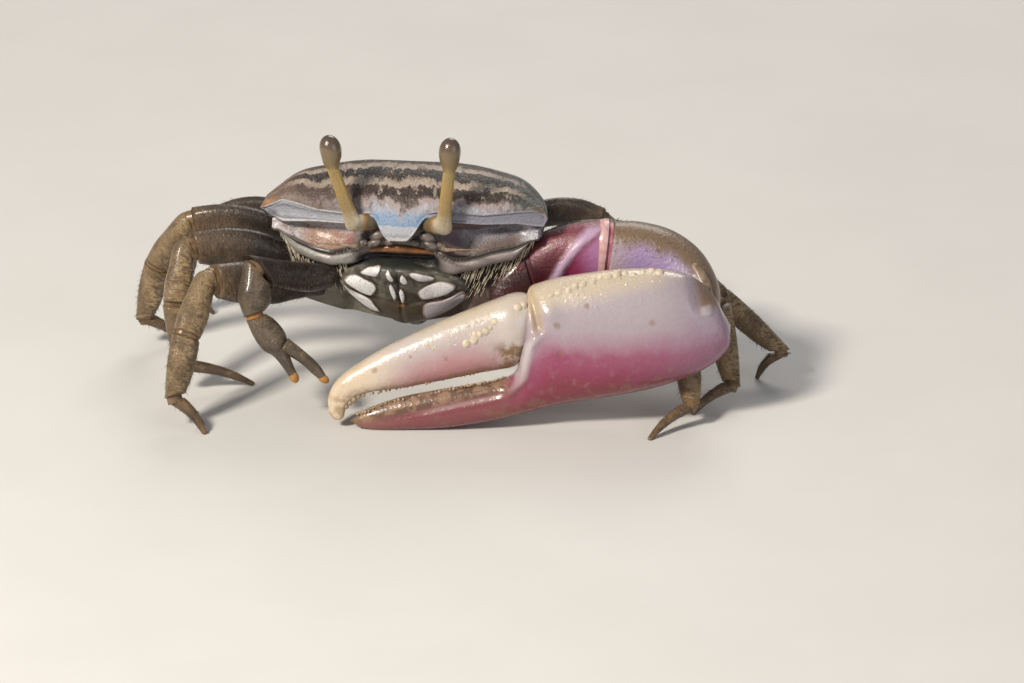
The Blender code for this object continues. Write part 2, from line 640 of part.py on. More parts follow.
def make_minor_claw(thorax_tree, materials):
    """The small feeding claw on the crab's right, hanging from a raised arm."""
    hit, normal = cast(thorax_tree, (-9.4, -9.5, 2.5), (0.42, 0.6, 0.8))
    root = hit + normal * 1.0
    inside = hit - normal * SINK
    elbow, wrist, knuckle = Vector((-11.3, -8.6, 11.5)), Vector((-11.3, -9.9, 8.2)), Vector((-9.6, -10.3, 5.9))
    finger_tip, fixed_tip = Vector((-6.0, -11.0, 3.4)), Vector((-8.3, -10.9, 3.5))
    plane = leg_frame(root, elbow, fixed_tip)
    elbow_cut, wrist_cut = mitre(root, elbow, wrist), mitre(elbow, wrist, knuckle)

    merus_form = [(0.0, 0.9, 0.8), (0.5, 1.15, 0.9), (1.0, 1.0, 0.85)]
    out = (elbow - root).normalized()
    merus_end = elbow - out * HALF_GAP / elbow_cut.dot(out)
    path = [bezier(inside, root, root.lerp(elbow, 0.4), merus_end, t) for t in (0.0, 0.25, 0.5, 0.75, 1.0)]
    limb_piece("minor_merus", path, merus_form, 1.0, plane, materials["leg"], end_cut=elbow_cut)

    along = (wrist - elbow).normalized()
    first = elbow + along * HALF_GAP / elbow_cut.dot(along)
    last = wrist - along * HALF_GAP / wrist_cut.dot(along)
    carpus_form = [(0.0, 0.8, 0.75), (0.25, 1.15, 0.95), (0.5, 1.35, 1.0), (0.75, 1.25, 0.95), (1.0, 0.8, 0.75)]
    limb_piece("minor_carpus", straight_path(first, last, 5), carpus_form, 1.0, plane, materials["leg"],
               start_cut=elbow_cut, end_cut=wrist_cut)

    along = (knuckle - wrist).normalized()
    first = wrist + along * HALF_GAP / wrist_cut.dot(along)
    palm_path = [first, first.lerp(knuckle, 0.4), first.lerp(knuckle, 0.85), knuckle.lerp(fixed_tip, 0.2),
                 knuckle.lerp(fixed_tip, 0.6), fixed_tip]
    palm_form = [(0.0, 0.75, 0.65), (0.2, 1.1, 0.8), (0.42, 1.15, 0.78), (0.62, 0.62, 0.5),
                 (0.82, 0.38, 0.36), (1.0, 0.3, 0.3)]
    limb_piece("minor_palm", palm_path, palm_form, 1.0, plane, materials["leg"], start_cut=wrist_cut)

    finger_form = [(0.0, 0.6, 0.5), (0.4, 0.45, 0.4), (0.8, 0.42, 0.38), (1.0, 0.25, 0.25)]
    finger_root = knuckle + Vector((0.5, -0.05, 0.1))
    finger = limb_piece("minor_dactyl", straight_path(finger_root, finger_tip, 5, Vector((0.15, 0, 0.15))),
                        finger_form, 1.0, plane, materials["leg_tip"], count=8)
    clear_of(finger, bpy.data.objects["minor_palm"])
    clear_of(bpy.data.objects["minor_merus"], bpy.data.objects["thorax"], bpy.data.objects["minor_carpus"])


def make_eye(side_name, materials):
    """One eyestalk and the eye on it."""
    mirror = Vector((-1 if side_name == "left" else 1, 1, 1))
    root, base = STALK_ROOT * mirror, STALK_BASE * mirror
    top = STALK_TOP[side_name]
    bend = base.lerp(top, 0.35) + Vector((0, -0.1, 0))
    path = [root, root.lerp(base, 0.6), base]
    path += [bezier(base, base.lerp(bend, 0.6), bend, top, t) for t in (0.2, 0.45, 0.7, 1.0)]
    path = [body_to_floor(p) for p in path]
    form = [(0.0, 0.62, 0.62), (0.17, 0.62, 0.62), (0.34, STALK_RADIUS + 0.08, STALK_RADIUS + 0.05),
            (0.6, STALK_RADIUS - 0.02, STALK_RADIUS - 0.02), (1.0, STALK_NECK, STALK_NECK)]
    side = body_turn() @ Vector((0, -1, 0.05))
    stalk = limb_piece("eyestalk_" + side_name, path, form, 1.0, side, materials["stalk"], count=10)
    clear_of(stalk, bpy.data.objects["carapace"], bpy.data.objects["thorax"])

    axis = (path[-1] - path[-2]).normalized()
    turn = Vector((0, 0, 1)).rotation_difference(axis)
    rings = []
    for i in range(6):
        angle = math.pi * (0.12 + 0.76 * i / 5)
        height = -math.cos(angle) * EYE_LENGTH / 2
        radius = math.sin(angle) * EYE_RADIUS
        centre = path[-1] + axis * (GAP + EYE_LENGTH / 2 * math.cos(math.pi * 0.12) + height)
        rings.append(oval_ring(centre, turn @ Vector((1, 0, 0)), turn @ Vector((0, 1, 0)),
                               radius, radius, 10, 2.0))
    top_point = path[-1] + axis * (GAP + EYE_LENGTH * 0.98)
    loft("eye_" + side_name, rings, materials["eye"], end=top_point)


def projected_plate(name, centre, half_a, half_b, spin, thorax_tree, ray, thickness, material, plane):
    """A domed plate lying on the thorax: an oval outline carried onto the shell by rays."""
    count = 16
    rings = []
    spin_turn = math.radians(spin)
    for share, lift in ((1.0, -SINK), (1.0, GAP + thickness * 0.5), (0.8, GAP + thickness * 0.85),
                        (0.45, GAP + thickness)):
        ring = []
        for i in range(count):
            angle = math.tau * i / count
            c, s = math.cos(angle), math.sin(angle)
            a = math.copysign(abs(c) ** 0.8, c) * half_a * share
            b = math.copysign(abs(s) ** 0.8, s) * half_b * share
            first = centre[0] + a * math.cos(spin_turn) - b * math.sin(spin_turn)
            second = centre[1] + a * math.sin(spin_turn) + b * math.cos(spin_turn)
            ring.append(project(first, second, plane, ray, thorax_tree, lift))
        rings.append(ring)
    crown = project(*centre, plane, ray, thorax_tree, GAP + thickness)
    plate = loft(name, rings, material, end=crown)
    clear_of(plate, bpy.data.objects["thorax"])


FRONT_OF_ALL = -20.0  # y that rays to the face start from
BELOW_ALL = -5.0  # z that rays to the belly start from
LEAST_FACING = 0.45  # a plate is not lifted further than this slope asks for


def project(first, second, plane, ray, tree, lift):
    """Carries (first, second) of a face or belly plan of the body frame onto the thorax, lifted off it."""
    start = (first, FRONT_OF_ALL, second) if plane == "face" else (first, second, BELOW_ALL)
    turned = body_turn() @ Vector(ray)
    hit, normal = cast(tree, body_to_floor(start), turned)
    facing = max(LEAST_FACING, abs(normal.dot(turned)))
    return hit - turned * lift / facing


def make_mouthparts(thorax_tree, material):
    for side_name, side in (("right", -1), ("left", 1)):
        projected_plate("maxilliped_" + side_name, (side * 2.5, 8.45), 2.15, 2.45, side * -24.0, thorax_tree,
                        (0, 1, 0), 0.85, material, "face")


ABDOMEN_THICK = 0.6


def make_abdomen(thorax_tree, material):
    """The narrow abdomen of a male, folded forward under the body."""
    rows = [(6.2, 1.9), (4.6, 2.1), (3.0, 1.75), (1.2, 1.4), (-0.6, 1.05), (-2.2, 0.7)]
    rings = []
    for y, half in rows:
        low = [project(x, y, "belly", (0, 0, 1), thorax_tree, -SINK)
               for x in (half, half * 0.3, -half * 0.3, -half)]
        high = [project(x, y, "belly", (0, 0, 1), thorax_tree, GAP + ABDOMEN_THICK)
                for x in (-half * 0.85, -half * 0.3, half * 0.3, half * 0.85)]
        rings.append(low + high)
    clear_of(loft("abdomen", rings, material), bpy.data.objects["thorax"])


def make_antenna(side_name, thorax, materials):
    """The short feeler beside the mouth, lying out along the lower rim of the eye socket."""
    side = -1 if side_name == "right" else 1
    rooted = Vector((side * 3.0, -6.35, 12.55))
    bend = Vector((side * 3.6, -7.35, 12.75))
    tip = Vector((side * 6.6, -7.45, 13.3))
    path = [body_to_floor(p) for p in (rooted, rooted.lerp(bend, 0.55), bend, bend.lerp(tip, 0.35),
                                       bend.lerp(tip, 0.7), tip)]
    form = [(0.0, 0.32, 0.32), (0.4, 0.3, 0.3), (0.6, 0.26, 0.26), (1.0, 0.16, 0.16)]
    antenna = limb_piece("antenna_" + side_name, path, form, 1.0, Vector((0, 0, 1)), materials["leg_tip"], count=6)
    clear_of(antenna, thorax, bpy.data.objects["eyestalk_" + side_name])


def main():
    clear_scene()
    materials = {
        "carapace": shell_material("carapace", (0.23, 0.19, 0.17), 0.45),
        "body": shell_material("body", (0.30, 0.26, 0.22), 0.5),
        "mouth": shell_material("mouth", (0.62, 0.60, 0.57), 0.5),
        "leg": shell_material("leg", (0.28, 0.22, 0.15), 0.5),
        "leg_tip": shell_material("leg_tip", (0.25, 0.17, 0.09), 0.5),
        "claw": shell_material("claw", (0.80, 0.60, 0.60), 0.35),
        "arm": shell_material("arm", (0.62, 0.33, 0.42), 0.4),
        "stalk": shell_material("stalk", (0.52, 0.42, 0.22), 0.45),
        "eye": shell_material("eye", (0.24, 0.18, 0.11), 0.2),
    }
    make_carapace(materials["carapace"])
    thorax = make_thorax(materials["body"])
    bpy.context.view_layer.update()
    thorax_tree = surface_tree(thorax)
    make_mouthparts(thorax_tree, materials["mouth"])
    make_abdomen(thorax_tree, materials["body"])
    for side_name in ("right", "left"):
        make_eye(side_name, materials)
        make_antenna(side_name, thorax, materials)
    make_palm(materials["claw"])
    make_major_dactyl(materials["claw"])
    make_major_arm(thorax_tree, materials)
    make_minor_claw(thorax_tree, materials)
    for side_name, facts in LEGS.items():
        make_leg(side_name, facts, thorax_tree, materials)


main()
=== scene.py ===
"""The looks of a male fiddler crab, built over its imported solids. The crab faces -Y, its left side with the
great claw is at +X, and the floor is z = 0. Shapes are in millimetres until a mesh is made."""

import math
import random

import bmesh
import bpy
import numpy as np
from mathutils import Matrix, Vector
from mathutils.bvhtree import BVHTree

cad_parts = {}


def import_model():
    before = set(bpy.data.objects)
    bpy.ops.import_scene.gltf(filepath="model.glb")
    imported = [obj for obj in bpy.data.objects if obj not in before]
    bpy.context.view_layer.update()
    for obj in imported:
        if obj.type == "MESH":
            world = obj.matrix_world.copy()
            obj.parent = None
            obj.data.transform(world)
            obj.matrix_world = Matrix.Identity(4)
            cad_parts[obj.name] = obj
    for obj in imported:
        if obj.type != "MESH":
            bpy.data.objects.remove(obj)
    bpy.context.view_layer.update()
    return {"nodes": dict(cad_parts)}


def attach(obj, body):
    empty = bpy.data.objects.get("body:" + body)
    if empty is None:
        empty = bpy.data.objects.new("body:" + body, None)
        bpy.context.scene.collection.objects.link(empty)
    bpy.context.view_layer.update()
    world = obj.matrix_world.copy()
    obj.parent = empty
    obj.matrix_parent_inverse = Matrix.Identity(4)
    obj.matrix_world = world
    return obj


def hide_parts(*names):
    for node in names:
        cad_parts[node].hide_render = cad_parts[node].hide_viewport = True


MM = 0.001
GAP = 0.3  # clear space between one solid and the next
ORIGIN_SHIFT = Vector((-4.39, 1.94, 0.0))
UP = Vector((0.0, 0.0, 1.0))
FORWARD = Vector((0.0, -1.0, 0.0))

# Body frame: x to the crab's left, -y forward, z above the floor
BODY_YAW = -9.5
BODY_ROLL = -1.1
BODY_PIVOT = Vector((0.0, 0.0, 14.0))
BODY_AT = Vector((0.9, 0.0, 0.0))
HALF_WIDTH = 11.0
FRONT_Y = -6.9
REAR_Y = 7.0
CORNER_Y = -5.0
MARGIN_Z = 14.7
MARGIN_LIFT = 0.65
REAR_Z = 12.4
CREST_RISE = 3.75
SHELL = 0.7
CORNER_SHELL = 0.35
THORAX_HALF_WIDTH = 10.35
THORAX_END_X = 10.3353
BREAST_Z = 4.95
SIDE_RISE = 2.4
CORNER_RISE = 6.0
MOUTH_RECESS = 0.75
MOUTH_X = -0.3  # middle of the mouth field
SEAM_X = -0.38  # seam between the two maxillipeds

# Eyes, in the body frame. The stalk's root and base are those of the crab's right side
STALK_ROOT = Vector((-2.1, -6.3, 14.35))
STALK_BASE = Vector((-3.5, -7.5, 14.72))
STALK_TOP = {"right": Vector((-5.0, -7.6, 19.3)), "left": Vector((4.1, -7.6, 19.45))}
EYE_RADIUS = 0.84
EYE_NECK = 0.46
EYE_WIDEST = 0.6  # share of the eye's length where it is widest
EYE_LENGTH = 2.4

# Great claw
CLAW_AT = Vector((25.1, -10.55, 7.2))
CLAW_DIP = 12.1
CLAW_TOE = 3.6
CLAW_LEAN = 15.0
CLAW_LENGTH = 32.0
CLAW_SQUARENESS = 2.4

# Walking legs, front to rear on each side, in the floor frame: a place in the body that the leg points to,
# its knee, wrist, ankle and tip, its girth, and how far its first joint arches up
LEGS = {
    "right_1": ((-3.2, -1.4, 7.6), (-14.5, -7.5, 10.1), (-16.5, -10.8, 6.9), (-17.4, -12.6, 2.5),
                (-15.1, -13.7, 0.0), 1.22, -0.2),
    "right_2": ((-3.3, -0.1, 8.2), (-16.3, -2.6, 10.9), (-17.6, -4.5, 7.0), (-16.9, -5.4, 2.3),
                (-11.8, -3.9, 0.0), 1.14, 1.1),
    "right_3": ((-3.3, 1.1, 8.6), (-16.4, 2.3, 11.2), (-19.4, 3.4, 7.2), (-20.5, 4.0, 2.5),
                (-17.6, 5.0, 0.0), 1.15, 1.6),
    "right_4": ((-3.2, 2.6, 10.0), (-14.6, 7.1, 9.8), (-17.2, 9.2, 6.4), (-18.0, 10.1, 2.4),
                (-15.5, 11.0, 0.0), 0.92, 2.2),
    "left_1": ((2.9, -1.6, 7.0), (17.6, -3.9, 6.0), (21.8, -7.1, 4.1), (22.0, -12.2, 1.75),
               (18.8, -14.9, 0.0), 1.05, 0.0),
    "left_2": ((3.2, 0.1, 8.2), (18.4, -0.9, 8.3), (24.3, -3.7, 6.2), (25.2, -8.2, 1.8),
               (22.2, -9.9, 0.0), 1.12, 0.5),
    "left_3": ((3.3, 1.1, 8.6), (18.4, 1.7, 10.0), (24.5, -0.8, 6.1), (29.2, -2.9, 2.4),
               (27.4, -2.6, 0.0), 1.02, 1.2),
    "left_4": ((3.2, 2.6, 10.0), (15.2, 7.0, 9.6), (17.9, 8.9, 5.9), (18.6, 9.9, 2.4),
               (16.0, 10.7, 0.0), 0.95, 2.2),
}
KNEE_REACH = 0.6
# Half height and half width at shares of a joint's length
MERUS_FORM = [(0.0, 0.8, 0.6), (0.16, 0.9, 0.6), (0.32, 1.05, 0.65), (0.55, 1.36, 0.7), (0.8, 1.3, 0.7),
              (1.0, 1.05, 0.7)]
CARPUS_FORM = [(0.0, 0.76, 0.62), (0.25, 0.68, 0.66), (0.5, 0.86, 0.76), (0.75, 0.97, 0.76), (1.0, 0.88, 0.7)]
PROPODUS_FORM = [(0.0, 0.9, 0.68), (0.35, 0.92, 0.64), (0.7, 0.82, 0.56), (1.0, 0.6, 0.46)]
DACTYL_FORM = [(0.0, 0.44, 0.38), (0.35, 0.36, 0.32), (0.7, 0.28, 0.26), (1.0, 0.17, 0.17)]


# Sums
def smoothstep(low, high, value):
    t = min(1.0, max(0.0, (value - low) / (high - low)))
    return t * t * (3.0 - 2.0 * t)


def mix(a, b, t):
    return a + (b - a) * t


def bell(value, middle, width):
    """A smooth hump, 1 at the middle and close to 0 two widths away."""
    return math.exp(-(((value - middle) / width) ** 2))


def bezier(p0, p1, p2, p3, shares):
    return [p0 * (1 - t) ** 3 + p1 * 3 * (1 - t) ** 2 * t + p2 * 3 * (1 - t) * t * t + p3 * t**3
            for t in shares]


def body_turn():
    return Matrix.Rotation(math.radians(BODY_YAW), 3, "Z") @ Matrix.Rotation(math.radians(BODY_ROLL), 3, "Y")


def body_to_floor(point):
    return body_turn() @ (Vector(point) - BODY_PIVOT) + BODY_PIVOT + BODY_AT


def ridge_line(h, larger):
    """How far along the great claw the ridge from its hinge is at a height, for numbers or node values."""
    return h * -0.42 + 16.55 + larger(h - 2.2, 0.0) * -0.7 + larger(h * -1.0, 0.0) * 0.8


def merus_lane(along, up):
    """Height above the slanting crease of the great merus, for arrays and for node values."""
    return along * 1.75 - 0.61 - up


# Materials
class Value:
    """What a material's node gives out, for plain arithmetic with numbers and other values."""

    def __init__(self, paint, socket):
        self.paint, self.socket = paint, socket

    def __add__(self, other):
        return self.paint.calc("ADD", self, other)

    def __sub__(self, other):
        return self.paint.calc("SUBTRACT", self, other)

    def __mul__(self, other):
        return self.paint.calc("MULTIPLY", self, other)

    def __pow__(self, other):
        return self.paint.calc("POWER", self, other)

    def __abs__(self):
        return self.paint.calc("ABSOLUTE", self)

    def step(self, low, high, to_low=0.0, to_high=1.0):
        """A smooth step while the value goes from low to high."""
        numbers = dict(enumerate((self, low, high, to_low, to_high)))
        return self.paint.node("ShaderNodeMapRange", numbers, interpolation_type="SMOOTHSTEP")


class Paint:
    """Builds one procedural material, with a short word for each kind of node."""

    def __init__(self, name, roughness, coat=0.0, subsurface=0.0):
        self.material = bpy.data.materials.new(name)
        self.material.use_nodes = True
        self.tree = self.material.node_tree
        self.shader = self.tree.nodes["Principled BSDF"]
        settings = {"Roughness": roughness, "Coat Weight": coat, "Coat Roughness": 0.12,
                    "Subsurface Weight": subsurface, "Subsurface Radius": (1.0, 0.5, 0.35),
                    "Subsurface Scale": 0.5 * MM}
        for key, value in settings.items():
            self.shader.inputs[key].default_value = value

    def feed(self, socket, value):
        """Sets a socket to a colour or number, or links it to another node's output."""
        if isinstance(value, Value):
            self.tree.links.new(value.socket, socket)
        elif isinstance(value, tuple) and socket.type == "RGBA":
            socket.default_value = (*value, 1.0)
        else:
            socket.default_value = value

    def node(self, kind, inputs, output=0, **settings):
        """Adds a node, feeds its inputs and hands on one output."""
        made = self.tree.nodes.new(kind)
        for key, value in settings.items():
            setattr(made, key, value)
        for key, value in inputs.items():
            self.feed(made.inputs[key], value)
        return Value(self, made.outputs[output])

    def read(self, name):
        """The three numbers that each point of the surface carries under a name."""
        return self.node("ShaderNodeAttribute", {}, "Vector", attribute_name=name)

    def place(self, name="place"):
        """Those three numbers as separate values."""
        first = self.node("ShaderNodeSeparateXYZ", {0: self.read(name)})
        return [Value(self, output) for output in first.socket.node.outputs]

    def where(self, stretch=(1.0, 1.0, 1.0), source=None):
        """Position in millimetres, or another vector, stretched along each axis."""
        if source is None:
            source = self.node("ShaderNodeTexCoord", {}, "Object")
            stretch = tuple(s / MM for s in stretch)
        return self.node("ShaderNodeVectorMath", {0: source, 1: stretch}, operation="MULTIPLY")

    def noise(self, size, detail=4.0, rough=0.55, distortion=0.0, vector=None):
        """Noise with features of about that many millimetres."""
        inputs = {"Vector": vector or self.where(), "Scale": 1.0 / size, "Detail": detail, "Roughness": rough,
                  "Distortion": distortion}
        return self.node("ShaderNodeTexNoise", inputs, "Fac")

    def cells(self, size):
        """Distance to the nearest of many points set about that many millimetres apart."""
        return self.node("ShaderNodeTexVoronoi", {"Vector": self.where(), "Scale": 1.0 / size}, "Distance")

    def calc(self, operation, a, b=0.0):
        return self.node("ShaderNodeMath", {0: a, 1: b}, operation=operation)

    def larger(self, a, b):
        return self.calc("MAXIMUM", a, b)

    def ramp(self, value, stops):
        """Colours along a value: stops are (position, colour)."""
        made = self.node("ShaderNodeValToRGB", {0: value})
        points = made.socket.node.color_ramp.elements
        while len(points) < len(stops):
            points.new(0.5)
        for point, (position, colour) in zip(points, stops):
            point.position = position
            point.color = (*colour, 1.0)
        return made

    def curve(self, value, stops):
        """A number that follows (position, value) stops, for values from -4 to 8."""
        return self.ramp(value, [(p, ((v + 4.0) / 12.0,) * 3) for p, v in stops]) * 12.0 - 4.0

    def mix(self, share, a, b, blend="MIX"):
        inputs = {"Factor": share, 6: a, 7: b}
        return self.node("ShaderNodeMix", inputs, 2, data_type="RGBA", blend_type=blend)

    def layered(self, tone, *layers):
        """A tone with others laid over it in turn, each as (share, tone)."""
        for share, over in layers:
            tone = self.mix(share, tone, over)
        return tone

    def finish(self, colour, height=None, depth=0.05, roughness=None):
        """Sets the colour, a bump of that many millimetres, and a varied roughness."""
        self.feed(self.shader.inputs["Base Color"], colour)
        if height is not None:
            bump = self.node("ShaderNodeBump", {"Height": height, "Distance": depth * MM})
            self.feed(self.shader.inputs["Normal"], bump)
        if roughness is not None:
            self.feed(self.shader.inputs["Roughness"], roughness)
        return self.material


def dimmed(colour, share):
    return tuple(c * share for c in colour)


def back_tones(paint, along, across, shifted, ragged, flame):
    """Ragged bands, duller towards the sides, with an orange edge at the corners."""
    dark, umber, cream = (0.028, 0.017, 0.013), (0.07, 0.043, 0.03), (0.50, 0.41, 0.34)
    bands = paint.ramp(shifted, [
        (0.0, (0.42, 0.42, 0.47)), (0.014, (0.38, 0.32, 0.32)), (0.03, (0.42, 0.34, 0.33)),
        (0.044, (0.15, 0.10, 0.085)), (0.062, dark), (0.112, umber), (0.124, cream),
        (0.172, (0.40, 0.31, 0.24)), (0.186, dark), (0.262, dark), (0.276, cream),
        (0.34, (0.38, 0.30, 0.23)), (0.356, umber), (0.46, dark), (0.485, cream), (0.54, cream), (0.56, dark),
        (0.70, umber), (0.72, cream), (0.775, (0.34, 0.27, 0.2)), (0.79, dark), (1.0, umber)])
    side = abs(across)
    blotch = paint.noise(1.0, 6.0, 0.72, 0.4, flame).step(0.52, 0.6)
    flecks = paint.noise(0.42, 3.0, 0.5, vector=flame).step(0.62, 0.68)
    grains = paint.mix(paint.cells(0.26).step(0.0, 0.5), (0.6, 0.56, 0.52), (0.03, 0.02, 0.02))
    mottled = paint.layered(
        bands,
        (blotch * 0.6, (0.12, 0.08, 0.058)),
        (flecks * 0.6, (0.52, 0.45, 0.38)),
        (across.step(-0.1, -0.5) * along.step(0.16, 0.05) * 0.65, (0.13, 0.085, 0.07)),
        ((side + (ragged - 0.5) * 0.5).step(0.66, 0.9) * 0.8,
         paint.mix(across.step(-0.2, 0.2), (0.24, 0.165, 0.125), (0.105, 0.115, 0.105))))
    corner = side.step(0.86, 0.99) * along.step(0.10, 0.02) * across.step(0.5, -0.5, 0.25, 0.8)
    return paint.mix(corner, paint.mix(0.3, mottled, grains, "OVERLAY"), (0.36, 0.17, 0.07))


def brow_tones(paint, across, brow, x, z, ragged):
    """The pale brow with its double edge, darker on the crab's left."""
    edges = paint.ramp(brow, [
        (0.0, (0.50, 0.49, 0.51)), (0.14, (0.32, 0.32, 0.36)), (0.26, (0.15, 0.15, 0.18)),
        (0.4, (0.30, 0.31, 0.36)), (0.7, (0.40, 0.41, 0.46)), (0.84, (0.20, 0.195, 0.22)),
        (0.93, (0.56, 0.54, 0.55)), (1.0, (0.40, 0.38, 0.38))])
    return paint.layered(
        edges,
        (ragged.step(0.46, 0.64) * 0.4, (0.26, 0.235, 0.25)),
        (across.step(0.1, 0.4) * 0.75, (0.16, 0.16, 0.205)),
        (x.step(-9.5, -10.2) * z.step(14.9, 14.4) * 0.8, (0.08, 0.08, 0.09)))


def lobe_tones(paint, z, ragged):
    """The lobe between the eyestalks: blue above, white below."""
    specks = paint.noise(0.2, 2.0).step(0.66, 0.72)
    tone = paint.ramp((z + (ragged - 0.5) * 0.35).step(13.1, 15.7), [
        (0.0, (0.50, 0.48, 0.48)), (0.1, (0.30, 0.295, 0.31)), (0.2, (0.40, 0.41, 0.45)),
        (0.5, (0.43, 0.44, 0.49)), (0.56, (0.20, 0.28, 0.40)), (0.84, (0.17, 0.26, 0.40)),
        (0.93, (0.21, 0.28, 0.39)), (1.0, (0.32, 0.33, 0.39))])
    return paint.mix(specks * 0.6, tone, (0.13, 0.125, 0.15))


def carapace_material():
    """Bands of dark brown and cream across the back. place is (front to rear, side to side, brow down) and
    body is the position on the body in millimetres."""
    paint = Paint("banded_carapace", roughness=0.46)
    along, across, brow = paint.place()
    x, _, z = paint.place("body")
    flame = paint.where((1.0, 0.36, 0.7))
    wave = paint.noise(2.6, 3.0, vector=flame)
    ragged = paint.noise(0.62, 6.0, 0.68, vector=flame)
    fine = paint.noise(0.2, 4.0, 0.6)
    shifted = along + (wave - 0.5) * 0.11 + (ragged - 0.5) * 0.15 + abs(across) ** 2.0 * 0.03
    reach = paint.larger(shifted.step(0.05, 0.0), brow.step(0.0, 0.05)) * along.step(0.03, 0.012)
    colour = paint.layered(
        back_tones(paint, along, across, shifted, ragged, flame),
        (brow.step(0.0, 0.03), brow_tones(paint, across, brow, x, z, ragged)),
        (abs(x).step(2.25, 1.95) * reach * brow.step(1.2, 1.05), lobe_tones(paint, z, ragged)),
        (brow.step(1.05, 1.4), (0.085, 0.06, 0.055)))
    height = paint.cells(0.26).step(0.0, 0.5) * -0.4 + fine + ragged
    return paint.finish(colour, height, 0.07, fine.step(0.35, 0.7, 0.36, 0.56))


def socket_tones(paint, x, v, cloud):
    """Inside the eye sockets: ochre and pink on the crab's right, dusky lilac on its left."""
    patchy = paint.noise(0.55, 5.0, 0.7)
    upper = v + (cloud - 0.5) * 0.08
    right = paint.ramp(x * -0.1 + (cloud - 0.5) * 0.16, [
        (0.0, (0.20, 0.15, 0.13)), (0.36, (0.30, 0.115, 0.135)), (0.46, (0.27, 0.13, 0.095)),
        (0.56, (0.26, 0.11, 0.05)), (0.74, (0.29, 0.16, 0.105)), (0.84, (0.38, 0.34, 0.34)),
        (1.0, (0.44, 0.41, 0.42))])
    right = paint.layered(
        right,
        (patchy.step(0.5, 0.62) * 0.6, (0.19, 0.115, 0.085)),
        (patchy.step(0.44, 0.36) * 0.6, (0.50, 0.46, 0.43)),
        (upper.step(0.13, 0.08), (0.44, 0.40, 0.41)))
    left = paint.layered(
        (0.115, 0.095, 0.115),
        (cloud.step(0.42, 0.62), (0.20, 0.19, 0.215)),
        (upper.step(0.12, 0.2), (0.10, 0.062, 0.05)),
        (x.step(8.8, 10.0), (0.40, 0.39, 0.43)),
        (x.step(5.0, 3.6) * 0.6, (0.13, 0.07, 0.08)))
    return paint.mix(x.step(0.6, -0.6), left, right)


def thorax_material():
    """Eye sockets, lower rims, face and belly. place is (x, share of the way round the section, height)."""
    paint = Paint("body_shell", roughness=0.4, coat=0.1)
    x, v, z = paint.place()
    cloud = paint.noise(1.3, 5.0, 0.6)
    speckle = paint.noise(0.17, 3.0, 0.6)
    right = x.step(0.6, -0.6)
    shifted = v + (cloud - 0.5) * 0.025
    rim = paint.mix(right, (0.27, 0.23, 0.22), (0.30, 0.28, 0.26))
    rim = paint.mix(cloud.step(0.4, 0.7) * 0.6, rim, (0.17, 0.14, 0.125))
    hollow = paint.mix(cloud.step(0.45, 0.65), (0.014, 0.009, 0.007), (0.04, 0.026, 0.018))
    flank = paint.mix(cloud.step(0.4, 0.62), (0.15, 0.14, 0.105), (0.24, 0.22, 0.17))
    belly = paint.mix(cloud.step(0.4, 0.65), (0.22, 0.18, 0.14), (0.12, 0.095, 0.07))
    face = paint.ramp(z.step(8.0, 13.6), [
        (0.0, (0.08, 0.06, 0.04)), (0.46, (0.035, 0.036, 0.032)), (0.56, (0.008, 0.009, 0.010)),
        (0.66, (0.012, 0.012, 0.013)), (0.72, (0.09, 0.075, 0.06)), (0.85, (0.15, 0.125, 0.11)),
        (1.0, (0.19, 0.165, 0.15))])
    colour = paint.layered(
        socket_tones(paint, x, v, cloud),
        (speckle.step(0.55, 0.65) * 0.62, (0.05, 0.03, 0.028)),
        (v.step(0.208, 0.225), (0.032, 0.02, 0.016)),
        (v.step(0.288, 0.305), rim),
        (shifted.step(0.50, 0.525), hollow),
        (shifted.step(0.575, 0.61), paint.mix(right, (0.14, 0.10, 0.085), flank)),
        (shifted.step(0.70, 0.75), belly),
        (abs(x - MOUTH_X).step(3.9, 3.0) * v.step(0.62, 0.56),
         paint.mix(speckle.step(0.5, 0.62) * 0.5, face, (0.05, 0.035, 0.03))),
        (speckle.step(0.6, 0.7) * 0.35, (0.03, 0.022, 0.02)))
    return paint.finish(colour, cloud + paint.noise(0.14, 3.0), 0.05, cloud.step(0.35, 0.65, 0.3, 0.5))


def plate_material():
    """Mouth plates: white shell stippled with grey, edged with rust. place is (edge at 1, along, shade)."""
    paint = Paint("mouth_plates", roughness=0.45)
    edge, _, shade = paint.place()
    stipple = paint.noise(0.13, 4.0, 0.65)
    tone = paint.layered(
        (0.84, 0.83, 0.82),
        (shade, (0.34, 0.295, 0.33)),
        (stipple.step(0.52, 0.68) * 0.55, (0.22, 0.205, 0.205)),
        ((stipple * 0.16 + edge).step(0.93, 1.02) * 0.8, (0.17, 0.09, 0.045)),
        (edge.step(0.975, 1.0), (0.03, 0.02, 0.015)))
    return paint.finish(tone, stipple, 0.04)


def tissue_material():
    """The soft green-grey skin that holds the mouth plates, amber-brown lower down."""
    paint = Paint("mouth_tissue", roughness=0.46, coat=0.08)
    cloud = paint.noise(0.8, 5.0, 0.6)
    x, _, z = paint.place("body")
    middle = abs(x - SEAM_X).step(0.35, 0.05)
    tone = paint.layered(
        (0.05, 0.045, 0.035),
        (cloud.step(0.4, 0.6), (0.15, 0.14, 0.11)),
        (((cloud - 0.5) * 2.0 + z).step(8.9, 7.3) * 0.85, (0.052, 0.035, 0.019)),
        (middle * abs(z - 7.3).step(0.42, 0.1) * 0.8, (0.26, 0.15, 0.06)),
        (middle * z.step(7.0, 9.0) * 0.6, (0.015, 0.015, 0.012)),
        (((cloud - 0.5) * 1.2 + z).step(10.3, 10.9) * 0.9, (0.014, 0.015, 0.014)))
    return paint.finish(tone, cloud, 0.06)


